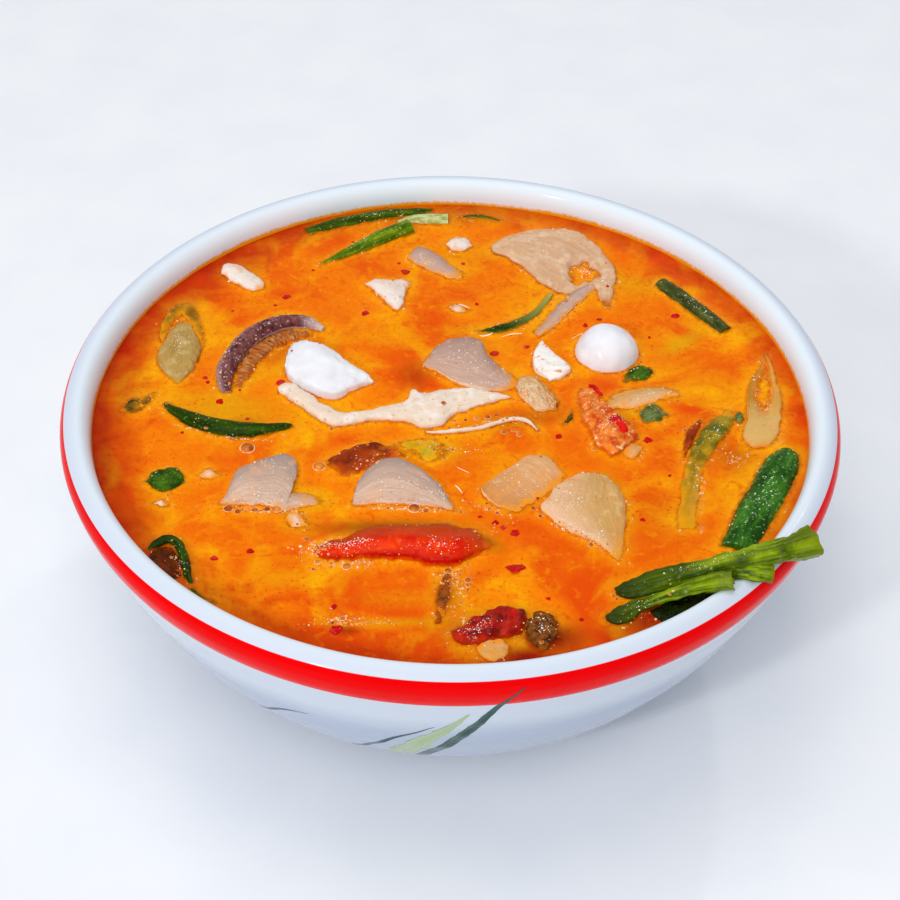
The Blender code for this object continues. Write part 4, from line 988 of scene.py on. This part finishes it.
# Morsels that show through the broth, and painted shade round the stalks at the front right and between the
# leaf curl and the wall: middle, half length and width, turn, and how dark or golden.
SUNK_AND_SHADE = (
    (65, 32, 10, 3.2, 38, 0.0, 1.0), (50, 2, 8, 4, 10, 0.0, 0.8), (-4, -16, 9, 4, 0, 0.0, 0.9),
    (-36, -36, 6, 5, 0, 0.0, 0.8), (44, -38, 6, 14, 10, 0.0, 0.5), (-60, 0, 16, 8, -10, 0.0, 0.9),
    (53, -75, 13, 6, 22, 1.0, 0.0), (12, -81, 16, 7, 4, 0.55, 0.0), (-71, -60, 5, 6, 30, 1.0, 0.0),
    (70, -9, 5, 8, -10, 0.5, 0.0), (-16, -45.5, 20, 3, 2, 0.75, 0.0), (26, -84, 8, 5, 20, 0.95, 0.0),
    (19, -90, 9, 4, 10, 1.0, 0.0), (9, -50, 6, 3, -30, 0.6, 0.0), (-10, 16, 5, 6, 0, 0.45, 0.0),
    (-56, -6, 6, 3, 20, 0.35, 0.0), (76, -16, 6, 5, 0, 0.4, 0.0), (0, -70, 4, 9, 0, 0.4, 0.0),
    (-45, 20, 20, 4, 40, 0.0, 0.6), (-12, -79, 18, 2, 3, 0.0, 0.7), (8, 36, 12, 3, 0, 0.0, 0.6),
    (20, -2, 14, 4, 14, 0.4, 0.0), (-25, -82, 4, 1.5, 0, 0.7, 0.0), (4, 72, 16, 6, 0, 0.0, 0.4),
    (-44, -65, 14, 8, 0, 0.13, 0.0), (52, 60, 10, 8, 0, 0.2, 0.0), (-12, -71, 14, 4, 0, 0.0, 0.4),
    (55, -40, 10, 10, 0, 0.0, 0.45), (-93, -12, 4, 26, -8, 0.3, 0.0), (-42, -2, 9, 5, 0, 0.0, 0.5),
    (-46, 25, 10, 3, 40, 0.35, 0.0), (76, -18, 4, 6, 0, 0.3, 0.0))

# All the food's surfaces in one tree, which finds the nearest piece, or the top of one, at a point.
corners, triangles = [], []
for thing in bpy.context.scene.objects:
    if thing.type == "MESH" and thing.name.endswith(("_flesh", "_skin", "_leaf")):
        start = len(corners)
        corners += [vert.co / MM for vert in thing.data.vertices]
        triangles += [[start + i for i in face.vertices] for face in thing.data.polygons]
food = BVHTree.FromPolygons(corners, triangles)


def food_distance(x, y, limit):
    """How far the nearest food is from a point on the broth, up to a limit."""
    distance = food.find_nearest(Vector((x, y, BROTH_LEVEL)), limit)[3]
    return limit if distance is None else distance


def broth_height(x, y):
    """Height of the broth's surface over its level, at a plan point."""
    lap = 0.7 + 1.3 * noise.noise(Vector((x, y, 8)) / 1.8)  # it clings unevenly
    climb = MENISCUS * lap * math.exp(-food_distance(x, y, 8) / MENISCUS_REACH)
    to_wall = BROTH_RADIUS + INTO_WALL - math.hypot(x, y)
    ripple = 0.10 * noise.noise(Vector((x, y, 0)) / 9) + 0.05 * noise.noise(Vector((x, y, 4)) / 3)
    return climb + WALL_CLIMB * math.exp(-to_wall / 1.1) + ripple


def broth_tint(x, y):
    """How dark, golden and near the food the broth is at a plan point, each from 0 to 1."""
    dark = gold = 0.0
    for at_x, at_y, long, wide, turn, darkness, goldness in SUNK_AND_SHADE:
        away = Matrix.Rotation(math.radians(-turn), 2) @ Vector((x - at_x, y - at_y))
        fade = math.exp(-(away.x / long) ** 2 - (away.y / wide) ** 2)
        dark, gold = max(dark, darkness * fade), max(gold, goldness * fade)
    near = food_distance(x, y, 16)
    return dark, gold, math.exp(-near / HALO), math.exp(-near / CONTACT_SHADE)


def broth_skin():
    """The broth's body: a round sheet of tinted squares on top, then a skirt down inside the wall."""
    bm = bmesh.new()
    tint = bm.verts.layers.float_color.new("tint")
    bmesh.ops.create_grid(bm, x_segments=BROTH_CELLS, y_segments=BROTH_CELLS, size=1.0)
    reach = BROTH_RADIUS + INTO_WALL
    for vert in bm.verts:
        x, y = vert.co.x, vert.co.y
        disc = Vector((x * math.sqrt(1 - y * y / 2), y * math.sqrt(1 - x * x / 2))) * reach
        vert.co = (disc.x, disc.y, BROTH_LEVEL + broth_height(disc.x, disc.y))
        vert[tint] = broth_tint(disc.x, disc.y)
    rim = [edge for edge in bm.edges if edge.is_boundary]
    for wall, drop in WALL_INSIDE:
        ring = bmesh.ops.extrude_edge_only(bm, edges=rim)["geom"]
        rim = [part for part in ring if isinstance(part, bmesh.types.BMEdge)]
        for vert in {vert for edge in rim for vert in edge.verts}:
            shrink = (wall + INTO_WALL) / vert.co.xy.length
            vert.co = (vert.co.x * shrink, vert.co.y * shrink, RIM_HEIGHT - drop)
    close_skin(bm)
    return bm


# Broth: an opaque cream, marbled from red-orange through orange to amber in bands of 10 to 40 mm,
# with curds of 5 mm and finer oil between; it is darker over morsels that lie under it and where
# shade is painted round some pieces, golden over others, paler round the food, with a painted shade
# line where it meets the food, and red at the wall. Its face is smooth and reflects like water.
broth = new_material("creamy tom yum broth")
body = two_tone(broth, mottling(broth, 41.7, 6.0, Distortion=0.8), "EC4E02", "FE8602", 0.35, 0.63)
amber = mottling(broth, 22.2, 6.0, Distortion=1.2)
body = two_tone(broth, amber, body, "FFB004", 0.5, 0.72)
blush = mottling(broth, 13.3, 6.0, Distortion=0.8)
body = two_tone(broth, blush, body, "EA4602", 0.56, 0.8)
tint = add_node(broth, "ShaderNodeAttribute", attribute_name="tint")
tints = add_node(broth, "ShaderNodeSeparateColor", {0: tint.outputs["Color"]})
patchy = add_node(broth, "ShaderNodeMath", {0: tints.outputs["Blue"], 1: amber}, operation="MULTIPLY")
body = two_tone(broth, patchy.outputs[0], body, "FFAA08", 0.1, 0.6)
curds = mottling(broth, 4.76, 5.0, Distortion=1.6)
body = two_tone(broth, curds, body, "FFA60C", 0.56, 0.94)
body = two_tone(broth, curds, "E44C02", body, 0.18, 0.42)
body = two_tone(broth, tints.outputs["Green"], body, "E6AC06", 0.1, 1.3)
body = two_tone(broth, tints.outputs["Red"], body, "7A1602", 0.05, 0.95)
fine = mottling(broth, 1.43, 4.0, Roughness=0.7)
body = two_tone(broth, fine, body, "D85002", 0.46, 1.2)
# A line of painted shade where the broth meets the food.
line = add_node(broth, "ShaderNodeMath", {0: tint.outputs["Alpha"], 1: fine}, operation="MULTIPLY")
body = two_tone(broth, line.outputs[0], body, "A83802", 0.15, 0.7)
# Ground chilli and oil hang in the broth as fine red grains, thicker in some places.
grains = mottling(broth, 0.91, 1.0)
crowd = add_node(broth, "ShaderNodeMath", {0: blush, 1: 0.35, 2: grains}, operation="MULTIPLY_ADD")
body = two_tone(broth, crowd.outputs[0], body, "D84602", 0.83, 1.0)
# The red oil at the wall starts and stops unevenly, and reaches further in on the left.
place = add_node(broth, "ShaderNodeTexCoord").outputs["Object"]
side = add_node(broth, "ShaderNodeSeparateXYZ", {0: place}).outputs["X"]
flat = add_node(broth, "ShaderNodeVectorMath", {0: place, 1: (1, 1, 0)}, operation="MULTIPLY")
radius = add_node(broth, "ShaderNodeVectorMath", {0: flat.outputs[0]}, operation="LENGTH").outputs["Value"]
wavy = add_node(broth, "ShaderNodeMath", {0: blush, 1: 16 * MM, 2: radius}, operation="MULTIPLY_ADD")
lean = add_node(broth, "ShaderNodeMath", {0: side, 1: -0.035, 2: wavy.outputs[0]}, operation="MULTIPLY_ADD")
body = two_tone(broth, lean.outputs[0], body, "B01E02", 93 * MM, 109.5 * MM)
surface(broth, Base_Color=body, Roughness=0.09, IOR=1.34, Specular_IOR_Level=0.09,
        Normal=bumps(broth, (mottling(broth, 3.33, 2.0), 0.05), (grains, 0.01)))
add_piece("broth", broth_skin(), broth, ["soup"])

# --- Froth, beads and oil ------------------------------------------------------------------------
# Bubbles of creamy broth that gather at the pieces' edges, most of them on the near side, droplets
# on the pieces painted white as glints, and curls of cream painted white as highlights. Small copied
# balls and rings, set on whatever lies below them.
draw = random.Random(11)
FROTH_COUNT = 7000  # points tried; those near food keep a bubble
FROTH_REACH = 1.5
# The largest bubbles: plan point and radius.
RINGED = (
    (-9, -38.4, 1.5), (-6, -39, 0.8), (-54, -16, 1.9), (-34.5, -22.8, 1.6), (-57, -39.6, 1.2),
    (-54.5, -40.6, 0.8), (-44.5, -39.8, 1.2), (-47, -39.6, 0.8), (-50, -40, 0.7), (1, -3.6, 0.6),
    (4, -3, 0.5), (7, -2.4, 0.7), (10, -1.6, 0.8), (12.5, -0.6, 0.6), (-25.5, -60, 1.1), (-33, -58.6, 0.7),
    (5, -64, 0.8), (3, -66.6, 0.6), (0, -61, 0.9), (14.5, -7.6, 0.8), (16.8, -7, 0.5), (18.5, -8.6, 0.7),
    (-38, 26, 0.6), (18, -7, 0.6), (-2, 0.6, 0.7))
# Patches of foam, and of droplets on the pieces painted white as glints: middle, width,
# depth, turn in degrees and how many.
FOAM = (
    (-50, -39.9, 11, 0.9, -4, 150), (-11, -38.6, 14, 0.7, -2, 150), (-25, -59, 9, 1.6, 8, 120),
    (2, -64, 5, 5, 0, 90), (-33, -54, 6, 4, 0, 130), (33, -47.6, 13, 0.9, -36, 80),
    (11, -38.6, 7, 0.8, -25, 50), (3, -76, 4, 9, 0, 60), (11, -4, 12, 1.4, 14, 60),
    (-22, -79.5, 13, 0.9, 3, 80), (-24, -78, 7, 1.2, 3, 60), (-22, 47, 8, 3, 0, 20),
    (12, -45, 5, 3, 20, 14), (75.5, -17.5, 4, 4, 0, 40))
GLINT_DROPLETS = (
    (4, 21, 6, 5, -40, 70), (31, -38, 4.5, 6, -35, 110), (39, -49, 2.5, 4, 0, 40), (19, -29, 7, 6, 35, 90),
    (-13, -33, 8, 3, 0, 60), (-12, -36.9, 11, 0.5, 0, 60), (-50, -37.8, 10, 0.5, 0, 60),
    (33, -46.5, 12, 0.7, -38, 90), (9, 10.6, 9, 0.6, 6, 40), (-33, -54, 5, 3, 0, 50),
    (-3, -35, 3, 2, 0, 30), (-50, -35, 6, 3, 0, 50), (-47, -25, 3, 3, 0, 25), (-24, -54, 6, 2, 8, 130),
    (-2, -54, 8, 3, 0, 80), (8, -82, 5, 3, 20, 80), (38, 64, 3.5, 3.5, 0, 70), (44, 60, 1.5, 6, 0, 40),
    (24, 76, 8, 3, -20, 20), (-23, 12, 2, 2, 0, 24), (-43, 12, 2, 3, 0, 14), (43, -6, 3, 5, -30, 60),
    (82, -34, 3, 11, -25, 70), (62, -65, 12, 2, 8, 60), (48, -74, 6, 2, 20, 30), (-22, -22, 4, 3, 20, 24),
    (65, -26, 1.5, 9, 0, 40), (71, -8, 2, 6, -35, 30), (75, -17, 4, 4, 0, 16), (23, -81, 3, 3, 0, 50),
    (-57, -12.2, 9, 0.4, -3, 46), (-70, -8.6, 5, 0.4, -22, 20), (54, 8, 5, 2, 10, 24),
    (85, 8, 3, 12, 0, 40), (-76, 24, 3, 8, 10, 40), (33, 45, 2, 8, -30, 30), (-10, 68, 5, 2, -35, 24),
    (-19, 52, 4, 3, 0, 24), (26, 20, 3, 4, 0, 24), (22, 8, 4, 4, 0, 50), (-68, -58, 1.5, 7, 22, 26),
    (-26, 78, 8, 2, 40, 30), (-25, 89, 12, 1, 15, 30), (70, 47, 1.5, 8, 35, 30), (5, 4, 10, 2, 10, 30),
    (2, -15, 10, 2, -10, 30))
HIGHLIGHT_RIPPLES = (
    ((1.5, -29), (2.6, -30.4), (3.4, -32)), ((5.5, 35), (8.5, 33.4), (11, 34), (12, 36)),
    ((14, 33.2), (17, 34.6), (20, 35)), ((34, 33), (37, 35.6)), ((-1, 46), (2, 47.4), (5, 46)),
    ((2, -22), (5, -24)))


def round_shape(subdivisions):
    """The corners and faces of a ball of radius 1, to be copied many times."""
    ball = bmesh.new()
    bmesh.ops.create_icosphere(ball, subdivisions=subdivisions, radius=1.0)
    shape = [vert.co.copy() for vert in ball.verts], [[v.index for v in face.verts] for face in ball.faces]
    ball.free()
    return shape


def ring_shape(thickness):
    """The corners and faces of a ring of radius 1, to be copied many times."""
    ring = bmesh.new()
    made = bmesh.ops.create_circle(ring, segments=7, radius=thickness, matrix=Matrix.Translation((1, 0, 0))
                                   @ Matrix.Rotation(math.pi / 2, 4, "X"))["verts"]
    bmesh.ops.spin(ring, geom=made + list(ring.edges), cent=(0, 0, 0), axis=(0, 0, 1), angle=2 * math.pi,
                   steps=20, use_merge=True)
    close_skin(ring)
    ring.verts.index_update()
    shape = [vert.co.copy() for vert in ring.verts], [[v.index for v in face.verts] for face in ring.faces]
    ring.free()
    return shape


def surface_height(x, y):
    """The top of the food, or of the broth where nothing lies, at a plan point."""
    hit = food.ray_cast(Vector((x, y, RIM_HEIGHT + 30)), Vector((0, 0, -1)))[0]
    level = BROTH_LEVEL + broth_height(x, y)
    return max(level, hit.z) if hit else level


def add_bead(bm, shape, x, y, size, flatness=0.8, lift=0.1):
    """A copy of a small shape set into the surface below it."""
    middle = Vector((x, y, surface_height(x, y) + size * lift))
    verts = [bm.verts.new(middle + Vector((p.x, p.y, p.z * flatness)) * size) for p in shape[0]]
    for face in shape[1]:
        bm.faces.new([verts[i] for i in face])


def point_on_broth():
    """Draws a plan point anywhere on the broth, clear of the wall."""
    reach, turn = BROTH_RADIUS * math.sqrt(draw.random()) * 0.97, draw.uniform(0, 2 * math.pi)
    return reach * math.cos(turn), reach * math.sin(turn)


def scattered(patch):
    """Draws plan points in a cloud: its middle, width and depth, turn in degrees, how many."""
    x, y, wide, deep, turn, count = patch
    for _ in range(count):
        offset = Vector((draw.gauss(0, wide / 2), draw.gauss(0, deep / 2)))
        step = Matrix.Rotation(math.radians(turn), 2) @ offset
        yield x + step.x, y + step.y


def add_bubble(x, y, least, most, share):
    """Draws a size, and sets either a bubble with a pale ring or, more often, a bead of froth."""
    size = min(most, least + draw.expovariate(9))
    if draw.random() < share:
        add_bead(domes, small, x, y, size, 0.7)
        add_bead(rings, ring, x, y, size, 1.0)
    else:
        add_bead(beads, small, x, y, size * 0.8)


# Froth is cream beaten into the broth: pale beads, a little golden between, wet and bright.
froth = new_material("cream froth")
body = two_tone(froth, mottling(froth, 1.5), "F49024", "FFE0AC")
surface(froth, Base_Color=body, Roughness=0.08, IOR=1.33)
# A bubble's film lets the broth's dark orange show through and glints at one point.
bubble_film = new_material("broth bubble film")
body = two_tone(bubble_film, mottling(bubble_film, 3.0), "9A3C06", "EC8C24")
surface(bubble_film, Base_Color=body, Roughness=0.05, IOR=1.33)
beads, domes, rings, droplets = bmesh.new(), bmesh.new(), bmesh.new(), bmesh.new()
small, large, ring = round_shape(1), round_shape(3), ring_shape(0.13)
for _ in range(FROTH_COUNT):
    x, y = point_on_broth()
    spot, _, _, distance = food.find_nearest(Vector((x, y, BROTH_LEVEL)), FROTH_REACH)
    crowd = noise.noise(Vector((x, y, 0)) / 7)
    if spot is None or distance < 0.05 or crowd < (-0.1 if spot.y > y else 0.25):
        continue
    add_bubble(x, y, 0.18, 0.6, 0.2)
for patch in FOAM:
    for x, y in scattered(patch):
        add_bubble(x, y, 0.14, 0.7, 0.22)
for patch in GLINT_DROPLETS:
    for x, y in scattered(patch):
        add_bead(droplets, small, x, y, min(0.3, 0.07 + draw.expovariate(20)), 0.7)
for x, y, size in RINGED:
    add_bead(domes, large, x, y, size, 0.6, 0.0)
    add_bead(rings, ring, x, y, size, 1.0, 0.05)
add_piece("froth_beads", beads, froth, sharp=180)
# Droplets are painted white, so that each is one point of painted glint.
shine = new_material("white droplets as painted glints")
surface(shine, Base_Color=srgb("FFF8EC"), Roughness=0.08, IOR=1.36)
add_piece("droplets", droplets, shine, sharp=180)
add_piece("bubble_domes", domes, bubble_film, sharp=180)
add_piece("bubble_rings", rings, froth, sharp=180)

# Thin white curls of cream on the broth, painted white as highlight strokes.
cream = new_material("cream painted white as highlights")
surface(cream, Base_Color=srgb("FFF4E0"), Roughness=0.12, IOR=1.36)
for count, path in enumerate(HIGHLIGHT_RIPPLES):
    heights = [(x, y, broth_height(x, y) - 0.05) for x, y in path]
    halves = [(0.1, 0.1)] + [(0.2, 0.16)] * (len(path) - 2) + [(0.1, 0.1)]
    add_piece("cream_ripple_%d" % count, rod(heights, halves, rows=24, sides=8), cream)

# --- Chilli flakes and spice ---------------------------------------------------------------------
# Crushed red chilli in thin ragged flakes, each a cut-out lying where it fell, and finer ground
# spice in small grains all over the broth. Plan point and size of each flake.
FLAKES = (
    (-28, -74, 0.9), (-48, 50, 1.1), (-51, 46, 0.5), (-63, 43, 0.4), (-41, 63, 0.4), (-16, 67, 0.5),
    (-14, 63, 1.3), (-25, 43, 1.1), (3, 67, 0.6), (7, 48, 0.5), (12, 26, 1.3), (21, 29, 0.9), (64, 44, 1.3),
    (38, 39, 0.7), (42, 42, 0.8), (-68, 13, 0.7), (-67, 11, 0.6), (-63, 3, 1.1), (-55, -4, 0.6),
    (-59, -58, 1.0), (-50, -55, 0.9), (12, -43, 0.8), (14, -45, 0.7), (17, -47, 1.2), (8, -41, 0.5),
    (17, -59, 2.2), (50, -41, 0.7), (53, -10, 1.1), (25, -70, 0.6), (33, -77, 0.6), (-47, 11, 1.3),
    (29, -9, 0.9), (39, 11, 0.6), (-27, -82, 1.5), (-58, 8, 0.5), (56, 34, 0.4), (45, 56, 0.5),
    (-30, 77, 0.4), (-72, -10, 0.5), (23, -34, 0.4), (58, -24, 0.5))
SPICE_COUNT = 260
# Dried chilli, soaked again: deep red, glossy as skin.
chilli = new_material("crushed red chilli")
body = two_tone(chilli, mottling(chilli, 1.0), "A80000", "E00A02")
surface(chilli, Base_Color=body, Roughness=0.15, IOR=1.36, Specular_IOR_Level=0.25)
flakes = bmesh.new()
for x, y, size in FLAKES:
    tilt = Matrix.Rotation(draw.uniform(-0.3, 0.3), 4, "X") @ Matrix.Rotation(draw.uniform(0, 6), 4, "Z")
    stand = Matrix.Translation((x, y, surface_height(x, y) + 0.05)) @ tilt
    made = bmesh.ops.create_circle(flakes, segments=11, radius=1.15 * size, cap_ends=True,
                                   matrix=stand)["verts"]
    middle = Vector((x, y, made[0].co.z))
    for vert in made:
        vert.co = middle.lerp(vert.co, draw.uniform(0.6, 1.15))
    raised = bmesh.ops.extrude_face_region(flakes, geom=list(made[0].link_faces))["geom"]
    tops = [part for part in raised if isinstance(part, bmesh.types.BMVert)]
    bmesh.ops.translate(flakes, vec=(0, 0, 0.22), verts=tops)
    bmesh.ops.scale(flakes, vec=(0.8, 0.8, 1), verts=tops, space=Matrix.Translation(-middle))
bmesh.ops.recalc_face_normals(flakes, faces=flakes.faces)
add_piece("chilli_flakes", flakes, chilli, sharp=40)

# Spice: brick-red grains, duller than the flakes.
spice = new_material("ground spice")
surface(spice, Base_Color=two_tone(spice, mottling(spice, 6.0), "9A2002", "C83C02"), Roughness=0.3, IOR=1.36,
        Specular_IOR_Level=0.2)
specks = bmesh.new()
for _ in range(SPICE_COUNT):
    x, y = point_on_broth()
    if noise.noise(Vector((x, y, 9)) / 14) > -0.15 and food_distance(x, y, 1.0) >= 0.3:
        add_bead(specks, small, x, y, draw.uniform(0.08, 0.2), 0.5, 0.0)
add_piece("spice_specks", specks, spice, sharp=180)

# --- Table, light and camera ---------------------------------------------------------------------
# A plain pale table under a soft ceiling light and a tall window in front, with a small window at
# the front left and a small lamp behind at the right; and the diner's view down into the bowl.
CAMERA_REACH = 588.8  # millimetres from the middle of the lip's plane
CAMERA_RISE = 40.22  # degrees over that plane
CAMERA_PITCH = 41.75  # degrees down
CAMERA_ROLL = 0.97  # degrees
LENS = 87.3  # millimetres
TABLE_SIZE = 3.0  # metres from the middle to the edge
ROOM_LIGHT = 0.56

# Laminate: dull and almost white, barely clouded in patches of 30 mm, so that it only takes shadows.
laminate = new_material("white table laminate")
surface(laminate, Base_Color=two_tone(laminate, mottling(laminate, 30.0), "F7F8F9", "FBFBFB"), Roughness=0.6)
table_mesh = bmesh.new()
bmesh.ops.create_grid(table_mesh, x_segments=8, y_segments=8, size=TABLE_SIZE)
data = bpy.data.meshes.new("table")
table_mesh.to_mesh(data)
table_mesh.free()
data.materials.append(laminate)
table = bpy.data.objects.new("table", data)
bpy.context.scene.collection.objects.link(table)


def add_panel(name, place, size, power, colour="FFFFFF"):
    """A soft light of that size in metres, aimed at the middle of the bowl's rim."""
    light = bpy.data.lights.new(name, "AREA")
    light.size = size
    light.energy = power
    light.color = srgb(colour)[:3]
    panel = bpy.data.objects.new(name, light)
    panel.location = place
    aim = Vector((0, 0, RIM_HEIGHT * MM)) - panel.location
    panel.rotation_euler = aim.to_track_quat("-Z", "Y").to_euler()
    bpy.context.scene.collection.objects.link(panel)


add_panel("ceiling_light", (-0.25, 0.0, 1.45), 0.9, 5.4)
add_panel("tall_window_front", (-0.1, -1.2, 1.6), 0.8, 8.0)
add_panel("window_front_left", (-0.85, -1.3, 1.1), 0.14, 8.0)
add_panel("lamp_behind_right", (0.6, 1.05, 1.3), 0.06, 1.5)
world = bpy.data.worlds.new("room")
world.use_nodes = True
world.node_tree.nodes["Background"].inputs["Color"].default_value = srgb("E2E8F2")
world.node_tree.nodes["Background"].inputs["Strength"].default_value = ROOM_LIGHT
bpy.context.scene.world = world
bpy.context.scene.view_settings.view_transform = "Standard"

lens = bpy.data.cameras.new("diner_view")
lens.lens = LENS
camera = bpy.data.objects.new("diner_view", lens)
rise = math.radians(CAMERA_RISE)
camera.location = (0, -CAMERA_REACH * MM * math.cos(rise), (RIM_HEIGHT + CAMERA_REACH * math.sin(rise)) * MM)
camera.rotation_euler = (Matrix.Rotation(math.radians(90 - CAMERA_PITCH), 3, "X")
                         @ Matrix.Rotation(math.radians(CAMERA_ROLL), 3, "Z")).to_euler()
bpy.context.scene.collection.objects.link(camera)
bpy.context.scene.camera = camera
